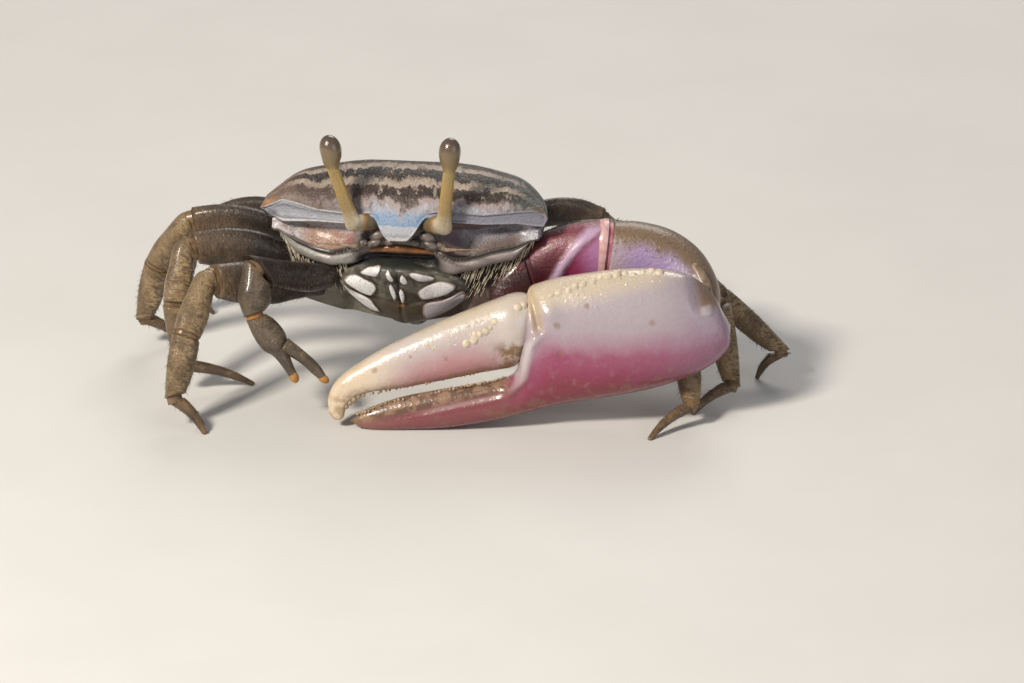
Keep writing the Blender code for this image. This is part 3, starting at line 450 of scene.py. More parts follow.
def rust_material():
    """Orange-brown arc over the mouth. place is (along, side, up)."""
    paint = Paint("rusty_arc", roughness=0.4, coat=0.15)
    along, _, _ = paint.place()
    grain = paint.noise(0.7, 4.0, 0.6)
    tone = paint.layered(
        (0.24, 0.09, 0.024),
        (grain.step(0.38, 0.66), (0.13, 0.055, 0.02)),
        (abs(along - 0.5).step(0.25, 0.45) * 0.75, (0.075, 0.042, 0.025)))
    return paint.finish(tone, grain, 0.06)


def stalk_material():
    """Ochre eyestalk with a cream foot and an orange skin at its root. place is (along, side, up)."""
    paint = Paint("eyestalk", roughness=0.36, coat=0.15, subsurface=0.05)
    along, side, _ = paint.place()
    speck = paint.noise(0.16, 4.0, 0.65)
    tone = paint.ramp(along + (paint.noise(0.8, 3.0) - 0.5) * 0.12, [
        (0.0, (0.13, 0.10, 0.065)), (0.13, (0.17, 0.12, 0.06)), (0.17, (0.40, 0.21, 0.05)),
        (0.22, (0.47, 0.41, 0.33)), (0.36, (0.47, 0.39, 0.26)), (0.48, (0.37, 0.25, 0.095)),
        (0.75, (0.43, 0.285, 0.09)), (1.0, (0.39, 0.275, 0.105))])
    tone = paint.layered(
        tone,
        (speck.step(0.54, 0.68) * 0.6, (0.10, 0.07, 0.03)),
        (abs(side).step(0.6, 1.0) * 0.4, (0.10, 0.075, 0.04)))
    return paint.finish(tone, speck, 0.03)


def eye_material():
    """Glossy olive-brown cornea, darker on top, with a painted glint on each facet. place is (along, side,
    up).
    """
    paint = Paint("eye", roughness=0.2, coat=0.6)
    along, _, _ = paint.place()
    tone = paint.ramp(along + (paint.noise(0.5, 3.0) - 0.5) * 0.2, [
        (0.0, (0.34, 0.245, 0.10)), (0.14, (0.25, 0.175, 0.07)), (0.3, (0.20, 0.14, 0.06)),
        (0.55, (0.18, 0.125, 0.065)), (0.75, (0.13, 0.09, 0.06)), (1.0, (0.09, 0.062, 0.05))])
    facets = paint.cells(0.06)
    # Facet pattern with a painted glint at the middle of each facet, darker between the facets
    grid = paint.mix(facets.step(0.1, 0.5), (0.6, 0.6, 0.6), (0.2, 0.2, 0.2))
    return paint.finish(paint.mix(0.25, tone, grid, "OVERLAY"), facets, 0.008)


def claw_paint(name, boundary, softness, tones, tip_at, tip_tone, spots):
    """Great claw: ivory above, pink to crimson below. place is (along, height, out) in millimetres. boundary
    is the line of heights, over its length, where the ivory turns pink, and tones go from ivory to crimson.
    The tip's own tone starts at tip_at. spots are small brown marks as (along, height, radius)."""
    paint = Paint(name, roughness=0.24, coat=0.35, subsurface=0.1)
    a, h, n = paint.place()
    soft = paint.noise(0.9, 5.0, 0.65)
    depth = paint.curve(a * (1.0 / CLAW_LENGTH), boundary) - h + (paint.noise(2.6, 4.0, 0.6) - 0.5) * 1.5
    stops = list(zip((0.0, 0.30, 0.46, 0.62, 0.84, 1.0), tones))
    tone = paint.layered(
        paint.ramp(depth * (0.5 / softness) + 0.5, stops),
        (h.step(4.2, 6.0), (0.56, 0.47, 0.36)),
        (a.step(6.0, 0.5) * h.step(-1.2, 1.0, 0.35, 0.75), (0.25, 0.19, 0.245)),
        (a.step(tip_at, tip_at + 5.0) * 0.85, tip_tone))
    for at, height, radius in spots:
        reach = ((a - at) ** 2.0 + (h - height) ** 2.0) ** 0.5 + (soft - 0.5) * 0.5
        tone = paint.mix(reach.step(radius, radius * 0.2) * 0.5, tone, (0.24, 0.13, 0.05))
    tone = paint.layered(
        tone,
        (soft.step(0.52, 0.72) * 0.3, (0.33, 0.25, 0.255)),
        (n.step(0.0, -1.2) * 0.6, (0.40, 0.31, 0.29)))
    return paint, tone, a, h, n, soft


def palm_material():
    boundary = [(0.0, 0.2), (0.13, 0.1), (0.25, 0.7), (0.37, 1.6),
                (0.45, 2.2), (0.52, 1.2), (0.6, 0.0), (1.0, 0.1)]
    tones = ((0.41, 0.36, 0.385), (0.39, 0.32, 0.36), (0.36, 0.22, 0.28),
             (0.29, 0.075, 0.14), (0.25, 0.035, 0.08), (0.21, 0.032, 0.052))
    spots = [(5.8, 2.3, 0.35), (12.9, 3.6, 0.4), (10.35, 4.6, 0.3), (13.1, 1.4, 0.4)]
    paint, tone, a, h, _, soft = claw_paint("great_palm", boundary, 3.2, tones,
                                            25.0, (0.42, 0.25, 0.15), spots)
    ridge = abs(a - ridge_line(h, paint.larger)).step(0.75, 0.25)
    ridge *= h.step(-1.4, 1.6, 0.25, 1.0) * abs(h - 1.1).step(2.3, 1.5)
    mud = paint.mix(soft.step(0.42, 0.58), (0.29, 0.19, 0.115), (0.12, 0.07, 0.036))
    row = abs(h + 0.85).step(0.28, 0.05) * a.step(17.5, 19.0) * a.step(25.5, 23.0)
    tone = paint.layered(
        tone,
        (a.step(10.5, 2.0) * h.step(2.6, -1.6) * 0.4, (0.24, 0.11, 0.19)),
        (ridge * 0.85, (0.52, 0.47, 0.47)),
        (a.step(15.8, 18.5) * h.step(0.2, -0.6) * 0.75, (0.19, 0.06, 0.055)),
        (a.step(16.8, 18.2) * h.step(-0.95, -0.25) * 0.9, mud),
        (row * 0.5, (0.42, 0.30, 0.29)),
        (a.step(2.5, 1.5) * h.step(1.8, 2.6) * 0.85, (0.17, 0.10, 0.045)),
        (abs(a - 1.6).step(0.6, 0.2) * abs(h - 2.2).step(0.5, 0.15) * 0.6, (0.48, 0.44, 0.45)),
        (abs(a - 14.35).step(0.75, 0.1) * h.step(2.9, 3.8) * 0.6, (0.50, 0.37, 0.22)),
        (h.step(-1.4, -2.3) * soft.step(0.48, 0.6) * 0.7, (0.22, 0.10, 0.055)))
    return paint.finish(tone, soft + paint.noise(0.3, 3.0), 0.04, soft.step(0.35, 0.7, 0.2, 0.36))


def finger_material():
    boundary = [(0.0, 2.0), (0.5, 1.9), (0.55, 2.6), (0.63, 3.0),
                (0.7, 2.9), (0.8, 2.2), (0.88, 0.5), (1.0, -1.0)]
    tones = ((0.55, 0.50, 0.47), (0.50, 0.42, 0.41), (0.45, 0.30, 0.31),
             (0.42, 0.21, 0.22), (0.38, 0.15, 0.17), (0.34, 0.125, 0.14))
    spots = [(27.25, 3.2, 0.35), (21.7, 2.85, 0.3), (24.3, 3.6, 0.2)]
    paint, tone, a, h, n, soft = claw_paint("great_finger", boundary, 2.6, tones,
                                            24.0, (0.68, 0.55, 0.39), spots)
    tone = paint.layered(
        tone,
        (a.step(19.5, 16.2) * 0.6, (0.56, 0.49, 0.44)),
        (h.step(2.3, 1.3) * soft.step(0.42, 0.58) * 0.6, (0.29, 0.17, 0.075)),
        (a.step(18.6, 17.2) * h.step(3.6, 2.4) * soft.step(0.38, 0.55), (0.20, 0.12, 0.055)),
        (soft.step(0.42, 0.66) * n.step(1.2, 0.5) * 0.4, (0.45, 0.32, 0.16)))
    return paint.finish(tone, soft + paint.noise(0.3, 3.0), 0.035, soft.step(0.35, 0.7, 0.2, 0.36))


def bead_material(name, colour):
    """Small shell beads and teeth."""
    paint = Paint(name, roughness=0.48)
    grain = paint.noise(0.5, 3.0)
    return paint.finish(paint.mix(grain.step(0.4, 0.65), colour, dimmed(colour, 0.75)), grain, 0.02)


def arm_paint(name, stops, top_tone, far_tone, coat=0.2):
    """Upper joints of the great claw. place is (along, side, up); side +1 faces forward."""
    paint = Paint(name, roughness=0.38, coat=coat, subsurface=0.06)
    along, side, up = paint.place()
    cloud = paint.noise(1.6, 5.0, 0.6)
    fine = paint.noise(0.24, 3.0)
    tone = paint.layered(
        paint.ramp(along + (cloud - 0.5) * 0.25, stops),
        ((up + (cloud - 0.5) * 0.6).step(0.25, 0.75), top_tone),
        (side.step(0.1, -0.5), far_tone),
        (fine.step(0.54, 0.66) * up.step(0.0, 0.5) * 0.55, (0.09, 0.055, 0.035)))
    return paint, tone, along, side, up, cloud, cloud + fine


def merus_material():
    stops = [(0.0, (0.04, 0.006, 0.01)), (0.34, (0.09, 0.009, 0.02)), (0.55, (0.20, 0.026, 0.065)),
             (0.78, (0.36, 0.11, 0.21)), (0.90, (0.46, 0.24, 0.29)), (1.0, (0.50, 0.28, 0.25))]
    paint, tone, along, side, up, cloud, height = arm_paint(
        "great_merus", stops, (0.19, 0.05, 0.068), (0.12, 0.085, 0.065), coat=0.06)
    lane = merus_lane(along, up)
    hollow = paint.mix(along.step(0.55, 0.85), (0.26, 0.03, 0.09), (0.38, 0.16, 0.33))
    crease = abs(lane + (cloud - 0.5) * 0.3).step(0.26, 0.05)
    tone = paint.layered(
        tone,
        (lane.step(0.1, 0.4) * along.step(0.25, 0.6) * along.step(0.95, 0.88) * 0.8, hollow),
        (crease * side.step(0.1, 0.5) * 0.85, (0.52, 0.37, 0.52)))
    return paint.finish(tone, height, 0.06)


def carpus_material():
    stops = [(0.0, (0.44, 0.35, 0.38)), (0.22, (0.36, 0.25, 0.44)), (0.55, (0.33, 0.25, 0.41)),
             (0.80, (0.33, 0.28, 0.31)), (1.0, (0.26, 0.19, 0.13))]
    paint, tone, *_, height = arm_paint("great_carpus", stops, (0.19, 0.125, 0.078), (0.16, 0.11, 0.072))
    return paint.finish(tone, height, 0.07)


def leg_material(name, light, dark, end_tone, furred=0.5, root_shade=0.0):
    """Glossy khaki shell crossed by fine dark lines. place is (along, side, up) and strand is (length, girth,
    seed)."""
    paint = Paint(name, roughness=0.3, coat=0.25)
    along, _, up = paint.place()
    cloud = paint.noise(1.4, 5.0, 0.6)
    lines = paint.noise(1.0, 4.0, 0.7, 0.5, paint.where((8.0, 2.2, 1.0), paint.read("strand")))
    striae = lines.step(0.5, 0.62) * up.step(-0.6, 0.5, 0.35, 1.0)
    tone = paint.layered(
        light,
        (cloud.step(0.38, 0.62), dark),
        (up.step(0.0, -0.9) * 0.5, dimmed(dark, 0.5)),
        (striae * furred, (0.04, 0.027, 0.017)),
        (paint.noise(0.2, 2.0).step(0.58, 0.68) * 0.4, (0.055, 0.036, 0.022)),
        (paint.larger(along.step(0.12, 0.0), along.step(0.86, 1.0)) * 0.3, end_tone),
        (along.step(0.85, 0.4) * root_shade, (0.014, 0.009, 0.006)))
    height = striae * -0.8 + cloud + paint.noise(0.16, 3.0)
    return paint.finish(tone, height, 0.06, cloud.step(0.35, 0.7, 0.24, 0.44))


def membrane_material(name, light, dark):
    """Soft skin inside the joints."""
    paint = Paint(name, roughness=0.4, coat=0.15, subsurface=0.1)
    cloud = paint.noise(0.6, 4.0)
    return paint.finish(paint.mix(cloud.step(0.4, 0.65), light, dark), cloud, 0.05)


def bristle_material(name, root_tone, tip_tone):
    """Hair that goes from one tone at the root to another at the tip. place is (along, shade, 0)."""
    paint = Paint(name, roughness=0.4, coat=0.1)
    along, shade, _ = paint.place()
    return paint.finish(paint.layered(root_tone, (along, tip_tone), (shade * 0.5, dimmed(root_tone, 0.35))))


def limb_paints():
    khaki, brown, amber = (0.37, 0.255, 0.13), (0.19, 0.122, 0.06), (0.25, 0.14, 0.055)
    soot = (0.045, 0.027, 0.018)
    return {
        "leg": leg_material("leg_shell", khaki, brown, amber, 0.7),
        "merus": leg_material("merus_shell", (0.16, 0.11, 0.072), (0.07, 0.046, 0.03), amber, 0.6, 0.95),
        "tip": leg_material("dactyl_shell", (0.20, 0.125, 0.06), (0.10, 0.062, 0.032),
                            (0.24, 0.115, 0.035), 0.4),
        "feeding": leg_material("feeding_shell", (0.18, 0.13, 0.085), (0.085, 0.06, 0.038),
                                (0.19, 0.125, 0.07), 0.35),
        "dark": leg_material("dark_shell", (0.035, 0.021, 0.014), (0.014, 0.009, 0.007), soot, 0.6),
        "ischium": leg_material("great_ischium", (0.10, 0.022, 0.03), (0.05, 0.018, 0.018), soot),
        "great_merus": merus_material(),
        "great_carpus": carpus_material(),
        "skin": membrane_material("joint_skin", (0.20, 0.12, 0.055), (0.10, 0.06, 0.03)),
        "spot": membrane_material("orange_skin", (0.45, 0.19, 0.03), (0.25, 0.10, 0.02)),
        "shoulder_skin": membrane_material("shoulder_skin", (0.10, 0.015, 0.022), (0.06, 0.012, 0.014)),
        "elbow_skin": membrane_material("elbow_skin", (0.50, 0.20, 0.24), (0.38, 0.10, 0.15)),
        "elbow_rim": membrane_material("elbow_rim", (0.58, 0.38, 0.37), (0.52, 0.27, 0.25)),
        "knob": membrane_material("wrist_knob", (0.56, 0.49, 0.51), (0.42, 0.34, 0.37)),
        "rim": membrane_material("wrist_rim", (0.27, 0.195, 0.13), (0.15, 0.10, 0.065)),
        "amber": bead_material("amber_tips", (0.46, 0.21, 0.05)),
    }


# Meshes
def world(points):
    """Millimetres of the floor frame, as an array, in metres of the row frame."""
    return (np.asarray(points, float) + np.array(ORIGIN_SHIFT)) * MM


def finer(points, steps, closed=False):
    """Points on smooth curves through every row of an array."""
    points = np.array(points, float)
    if closed:
        before, here, after, beyond = (np.roll(points, shift, 0) for shift in (1, 0, -1, -2))
    else:
        padded = np.concatenate([2 * points[:1] - points[1:2], points, 2 * points[-1:] - points[-2:-1]])
        before, here, after, beyond = padded[:-3], padded[1:-2], padded[2:-1], padded[3:]
    parts = []
    for step in range(steps):
        t = step / steps
        parts.append(0.5 * (2 * here + (after - before) * t
                            + (2 * before - 5 * here + 4 * after - beyond) * t * t
                            + (3 * here - before - 3 * after + beyond) * t**3))
    made = np.stack(parts, 1).reshape(-1, *points.shape[1:])
    return made if closed else np.concatenate([made, points[-1:]])


def cap_rows(ring, inner, dome, edge):
    """Rows that close the end of a tube: domed outwards, or flat with a rounded edge."""
    centre = ring.mean(0)
    outward = centre - inner.mean(0)
    outward /= max(1e-9, np.linalg.norm(outward))
    radius = np.linalg.norm(ring - centre, axis=1).mean()
    if dome > 0:
        turns = [math.radians(a) for a in (18, 36, 54, 72, 90)]
        return [centre + (ring - centre) * math.cos(a) + outward * dome * math.sin(a) for a in turns]
    rows = []
    for turn in (math.radians(a) for a in (30, 60, 90)):
        size = 1.0 - edge / radius * (1.0 - math.cos(turn))
        rows.append(centre + (ring - centre) * size + outward * edge * (math.sin(turn) - 1.0))
    return rows + [centre + (rows[-1] - centre) * share for share in (0.6, 0.3, 0.0)]


def close_ends(grid, places, start_dome=0.0, end_dome=0.0, edge=0.12):
    """Adds end rows to a tube of rings, and repeats its end places for them."""
    first = cap_rows(grid[0], grid[1], start_dome, edge)[::-1]
    last = cap_rows(grid[-1], grid[-2], end_dome, edge)
    filled = {}
    for key, values in places.items():
        filled[key] = np.concatenate([np.repeat(values[:1], len(first), 0), values,
                                      np.repeat(values[-1:], len(last), 0)])
    return np.concatenate([first, grid, last]), filled


def carry(mesh, key, values):
    """Gives each point of a mesh three numbers for its material to read."""
    layer = mesh.attributes.new(key, "FLOAT_VECTOR", "POINT")
    layer.data.foreach_set("vector", np.ravel(values).astype(np.float32))


def place_piece(name, mesh, material, stands_for=()):
    mesh.materials.append(material)
    mesh.shade_smooth()
    made = bpy.data.objects.new(name, mesh)
    bpy.context.scene.collection.objects.link(made)
    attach(made, "root")
    if stands_for:
        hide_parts(*stands_for)
    return made


def grid_piece(name, grid, places, material, slot, stands_for=()):
    """A mesh from rings of points, none of them under the floor."""
    grid[..., 2] = np.maximum(grid[..., 2], 0.0)
    index = np.arange(grid[..., 0].size).reshape(grid.shape[:2])
    following = np.roll(index, -1, 1)
    faces = np.stack([index[:-1], following[:-1], following[1:], index[1:]], -1).reshape(-1, 4)
    mesh = bpy.data.meshes.new(name)
    mesh.from_pydata(world(grid).reshape(-1, 3).tolist(), [], faces.tolist())
    for key, values in places.items():
        carry(mesh, key, values)
    work = bmesh.new()
    work.from_mesh(mesh)
    bmesh.ops.remove_doubles(work, verts=work.verts, dist=1e-6)
    bmesh.ops.recalc_face_normals(work, faces=work.faces)
    work.to_mesh(mesh)
    work.free()
    return place_piece(name, mesh, material, stands_for)


def joined_blobs(name, blobs, material, level=2):
    """Many small round beads as one mesh. Each is (centre, radius, stretch along its axis, axis)."""
    pattern = bmesh.new()
    bmesh.ops.create_icosphere(pattern, subdivisions=level, radius=1.0)
    ball = np.array([v.co for v in pattern.verts])
    faces = np.array([[v.index for v in f.verts] for f in pattern.faces])
    pattern.free()
    points, polygons = [], []
    for number, (centre, radius, stretch, axis) in enumerate(blobs):
        axis = np.array(axis.normalized())
        shaped = ball + np.outer(ball @ axis * (stretch - 1.0), axis)
        points.append(shaped * radius + np.array(centre))
        polygons.append(faces + number * len(ball))
    mesh = bpy.data.meshes.new(name)
    mesh.from_pydata(world(np.concatenate(points)).tolist(), [], np.concatenate(polygons).tolist())
    return place_piece(name, mesh, material)


def squared_circle(angles, power):
    """Across and up on a round section, 1 at its sides. It grows squarer as the power goes up from 2."""
    c, s = np.cos(angles), np.sin(angles)
    return np.sign(c) * np.abs(c) ** (2.0 / power), np.sign(s) * np.abs(s) ** (2.0 / power)


def limb_rings(path, form, facing, girth=1.0, start_cut=None, end_cut=None, columns=48, power=2.3, steps=6,
               crest=0.0):
    """Rings of a limb along a path, from the underside round, with the places its material reads. form holds
    (share of the length, half height, half width), and the cuts are the directions that its ends face."""
    angles = np.array([math.tau * i / columns - math.pi / 2 for i in range(columns)])
    across, above = np.cos(angles), np.sin(angles)
    wide, high = squared_circle(angles, power)
    high = high * (1.0 + crest * np.exp(-((across / 0.35) ** 2)) * (above > 0))
    shares, half_highs, half_wides = zip(*form)
    rings = []
    for index, centre in enumerate(path):
        share = index / (len(path) - 1)
        tall = np.interp(share, shares, half_highs) * girth
        broad = np.interp(share, shares, half_wides) * girth
        before, after = path[max(0, index - 1)], path[min(len(path) - 1, index + 1)]
        along = (after - before).normalized()
        side = (facing - along * facing.dot(along)).normalized()
        up = side.cross(along).normalized()
        ring = np.outer(wide * broad, side) + np.outer(high * tall, up)
        cut = start_cut if index == 0 else end_cut if index == len(path) - 1 else None
        if cut is not None:
            ring = ring - np.outer(ring @ np.array(cut) / along.dot(cut), along)
        rings.append(ring + np.array(centre))
    grid = finer(rings, steps)
    centres = grid.mean(1)
    lengths = np.concatenate([[0.0], np.cumsum(np.linalg.norm(np.diff(centres, axis=0), axis=1))])[:, None]
    around = (angles + math.pi / 2) * np.linalg.norm(grid - centres[:, None], axis=2).mean()
    seed = len(path) + lengths[-1]
    place = np.stack(np.broadcast_arrays(lengths / lengths[-1], across, above), -1)
    strand = np.stack(np.broadcast_arrays(lengths, around, seed), -1)
    return grid, {"place": place, "strand": strand}


def limb(name, material, slot, stands_for, path, form, facing, start_dome=0.0, end_dome=0.0, edge=0.12,
         **shape):
    """One joint of a limb as a piece. Returns its rings and what its material reads there."""
    rings = limb_rings(path, form, facing, **shape)
    grid_piece(name, *close_ends(*rings, start_dome, end_dome, edge), material, slot, stands_for)
    return rings


def joint_skin(name, material, slot, joint, cut, size, facing, reach=(-0.4, 0.0, 0.4), **shape):
    """The skin that shows in the gap of a joint. reach says how far it goes each way along the cut's
    direction, and size is (half height, half width)."""
    path = [joint + cut * r for r in reach]
    limb(name, material, slot, (), path, [(0.0, *size), (1.0, *size)], facing, **shape)


def straight_path(start, end, steps, bow=Vector()):
    return [start.lerp(end, i / (steps - 1)) + bow * math.sin(math.pi * i / (steps - 1))
            for i in range(steps)]


def mitre(before, joint, after):
    return ((joint - before).normalized() + (after - joint).normalized()).normalized()


def beside(joint, cut, along, side):
    """Where a limb that runs along ends, half a gap before (-1) or after (1) the plane through a joint."""
    return joint + along * (side * GAP / 2 / cut.dot(along))


def surface_tree(obj):
    mesh = obj.data
    return BVHTree.FromPolygons([v.co for v in mesh.vertices], [p.vertices for p in mesh.polygons])


def cast(tree, start, direction):
    """The first spot of a surface from a place in a direction, and which way it faces."""
    at, normal, _, _ = tree.ray_cast((Vector(start) + ORIGIN_SHIFT) * MM, Vector(direction).normalized())
    return at / MM - ORIGIN_SHIFT, normal


def seat(tree, point, depth):
    """The place under the nearest spot of a surface, that many millimetres deep."""
    at, normal, _, _ = tree.find_nearest((point + ORIGIN_SHIFT) * MM)
    return at / MM - ORIGIN_SHIFT - normal * depth


class Bristles:
    """Gathers thin tapering hairs into one mesh. Each has a small patch on the OFBake map for its root."""

    SIDES = 3
    STEPS = 4
    PATCH = 0.003

    def __init__(self, name, material, slot):
        self.name, self.material, self.slot = name, material, slot
        self.points, self.faces, self.places, self.corners = [], [], [], []

    def add(self, root, direction, bend, length, radius, map_at, shade):
        """One hair from its root, curving towards bend, in millimetres of the floor frame."""
        direction = direction.normalized()
        side = direction.orthogonal().normalized()
        other = direction.cross(side)
        first = len(self.points)
        for step in range(self.STEPS + 1):
            t = step / self.STEPS
            centre = root + direction * length * t + bend * length * t * t * 0.5
            width = radius * (1.0 - t) ** 0.6 if step < self.STEPS else radius * 0.08
            for corner in range(self.SIDES):
                angle = math.tau * corner / self.SIDES
                self.points.append(tuple(centre + (side * math.cos(angle) + other * math.sin(angle)) * width))
                self.places.append((t, shade, 0.0))
        for step in range(self.STEPS):
            for corner in range(self.SIDES):
                a = first + step * self.SIDES + corner
                b = first + step * self.SIDES + (corner + 1) % self.SIDES
                self.faces.append((a, b, b + self.SIDES, a + self.SIDES))
                for x, y in ((0, 0), (1, 0), (1, 1), (0, 1)):
                    self.corners.append((map_at[0] + (corner + x) / self.SIDES * self.PATCH,
                                         map_at[1] + (step + y) / self.STEPS * self.PATCH))

    def finish(self):
        mesh = bpy.data.meshes.new(self.name)
        mesh.from_pydata(world(self.points).tolist(), [], self.faces)
        carry(mesh, "place", self.places)
        bake_map = mesh.uv_layers.new(name="OFBake")
        bake_map.uv.foreach_set("vector", np.array(self.corners, np.float32).reshape(-1))
        return place_piece(self.name, mesh, self.material)


# Carapace. u is the share of the way from the middle to a corner
SECTIONS = 131
LOBE_STEP = 0.075  # from one section to the next where they pass through the lobe
LOBE_STEPS = 38
NEAR_CORNER = 0.985  # share of the way to the corners that the sections reach
BACK_POINTS = 76
BROW_POINTS = 18


def front_y(u):
    return FRONT_Y + (CORNER_Y - FRONT_Y) * u**1.6


def rear_y(u):
    return CORNER_Y + (REAR_Y - CORNER_Y) * max(0.0, 1.0 - u**3.0) ** (1.0 / 1.6)


def margin_z(u):
    return MARGIN_Z + MARGIN_LIFT * bell(u, 0.8, 0.15) + 0.2 * smoothstep(0.9, 1.0, u)


def shell_depth(u):
    return SHELL + CORNER_SHELL * smoothstep(0.72, 0.95, u)


def rear_z(u):
    return REAR_Z + (MARGIN_Z - REAR_Z) * u**2.2


# Heights of the brow's upper and lower edges, from the crab's right corner to its left one
BROW_X = [-11.0, -10.0, -9.4, -8.3, -6.7, -4.3, -3.0, -2.25, -1.95, -1.6, -1.25, -0.9,
          0.6, 1.0, 1.45, 1.85, 2.2, 3.0, 3.9, 6.4, 8.8, 10.2, 11.0]
BROW_TOP = [14.75, 15.3, 15.65, 15.5, 15.15, 15.1, 15.25, 15.3, 15.2, 15.0, 14.85, 14.8,
            14.8, 14.9, 15.05, 15.3, 15.5, 15.6, 15.55, 15.25, 15.4, 15.45, 14.95]
BROW_FOOT = [14.4, 13.9, 13.7, 13.85, 14.05, 14.15, 14.4, 14.85, 14.85, 14.3, 13.55, 13.2,
             13.2, 13.6, 14.3, 14.9, 15.0, 14.7, 14.6, 14.35, 14.35, 14.05, 14.0]
# Height of the lower rim of the eye sockets
RIM_X = [-10.3, -8.6, -6.85, -5.6, -4.4, -3.3, -2.6, -1.8, 1.8, 2.2, 2.7, 4.1, 5.1, 6.75, 8.5, 10.3]
RIM_Z = [13.15, 12.4, 11.8, 11.65, 12.0, 12.75, 12.8, 12.15, 12.15, 12.5, 12.2, 11.65, 11.7, 12.2, 12.5, 13.0]


def follow(x, places, heights):
    """Height of a line at x, with its listed corners softened."""
    return np.mean([np.interp(x + s, places, heights) for s in (-0.16, -0.08, 0.0, 0.08, 0.16)])


def lobe_bulge(x, z):
    """How far the lobe between the eyestalks stands forward of the brow."""
    return 0.45 * smoothstep(2.3, 1.3, abs(x)) * smoothstep(15.8, 14.4, z)


def dorsal_point(x, t, brow_top):
    """The back of the carapace as (y, z), with the shallow furrows that part its regions."""
    u = abs(x) / HALF_WIDTH
    rise = CREST_RISE * (1.0 - 0.88 * u**2.6)
    margin = margin_z(u) + (brow_top - margin_z(u)) * math.exp(-t / 0.07)
    z = mix(margin, rear_z(u), t) + rise * math.sin(math.pi * t**0.72) ** 0.85
    hinder = smoothstep(0.5, 0.62, t) * smoothstep(0.92, 0.8, t)
    furrow = 0.09 * bell(abs(x), 2.6 + 2.6 * abs(t - 0.5), 0.55) * hinder
    furrow += 0.08 * bell(t, 0.5, 0.035) * smoothstep(3.4, 2.0, abs(x))
    return mix(front_y(u), rear_y(u), t) - lobe_bulge(x, z), z - furrow


def carapace_section(x):
    """One section of the carapace, over the back, under the rear and up the brow. For each point: its place
    in the floor frame, its (front to rear, side to side, brow down), and its place in the body frame."""
    u = abs(x) / HALF_WIDTH
    fy, ry, rz, depth = front_y(u), rear_y(u), rear_z(u), shell_depth(u)
    inset = min(0.45, (ry - fy) * 0.15)
    low_z = margin_z(u) - depth
    top, foot = follow(x, BROW_X, BROW_TOP), follow(x, BROW_X, BROW_FOOT)
    foot_y = fy - lobe_bulge(x, foot)
    points = [(*dorsal_point(x, t, top), t, 0.0) for t in np.linspace(0.0, 1.0, BACK_POINTS) ** 1.5]
    for t in np.arange(1, 6) / 6:
        points.append((ry - inset * t + 0.12 * math.sin(math.pi * t), rz - depth * t, 1.0, 0.0))
    for t in np.linspace(0.0, 1.0, 6):
        points.append((mix(ry - inset, fy + inset, t), mix(rz - depth, low_z, t), 1.0 - t, 2.0))
    for t in (0.25, 0.5, 0.75):
        points.append((mix(fy + inset, foot_y + 0.22, t), mix(low_z, foot + 0.1 * t, t), 0.0, 1.5))
    points.append((foot_y + 0.1, foot, 0.0, 1.2))
    for down in 1.0 - np.arange(BROW_POINTS) / BROW_POINTS:
        z = mix(top, foot + 0.07, down)
        upper = 0.09 * bell(z, top - 0.06, 0.07) - 0.05 * bell(z, top - 0.22, 0.06)
        relief = 0.09 * bell(z, foot + 0.13, 0.09) + upper * smoothstep(2.2, 2.8, abs(x))
        points.append((fy - lobe_bulge(x, z) - relief * min(1.0, (top - foot) / 0.5), z, 0.0, down))
    bodies = [(x, y, z) for y, z, _, _ in points]
    spots = [(along, math.copysign(u, x), brow) for _, _, along, brow in points]
    return [body_to_floor(p) for p in bodies], spots, bodies


def make_carapace(material):
    """The back, the brow and the lobe between the eyestalks, with close sections through the lobe."""
    middle = [i * LOBE_STEP for i in range(-LOBE_STEPS, LOBE_STEPS + 1)]
    turn = math.pi / 2 * NEAR_CORNER
    sides = [math.sin(turn * (2.0 * i / (SECTIONS - 1) - 1.0)) for i in range(SECTIONS)]
    sides = [HALF_WIDTH * NEAR_CORNER * side for side in sides]
    places = sorted([x for x in sides if abs(x) > middle[-1] + 0.05] + middle)
    rings, spots, bodies = (np.array(values) for values in zip(*(carapace_section(x) for x in places)))
    apexes = [(side * (HALF_WIDTH + 0.2), CORNER_Y - 0.3, MARGIN_Z + 0.1) for side in (-1, 1)]
    shares = (0.25, 0.5, 0.72, 0.88, 0.97, 1.0)

    def with_ends(values, ends):
        first = [mix(values[0], np.array(ends[0]), share) for share in shares[::-1]]
        last = [mix(values[-1], np.array(ends[1]), share) for share in shares]
        return np.concatenate([first, values, last])

    grid = with_ends(rings, [body_to_floor(apex) for apex in apexes])
    parts = {"place": with_ends(spots, [spots[0], spots[-1]]), "body": with_ends(bodies, apexes)}
    grid_piece("carapace_shell", grid, parts, material, "carapace", ["carapace"])


# Body under the carapace
def ridge_z(x):
    return follow(x, RIM_X, RIM_Z)


def breast_z(u):
    return BREAST_Z + SIDE_RISE * u**1.1 + CORNER_RISE * smoothstep(0.78, 1.0, u)


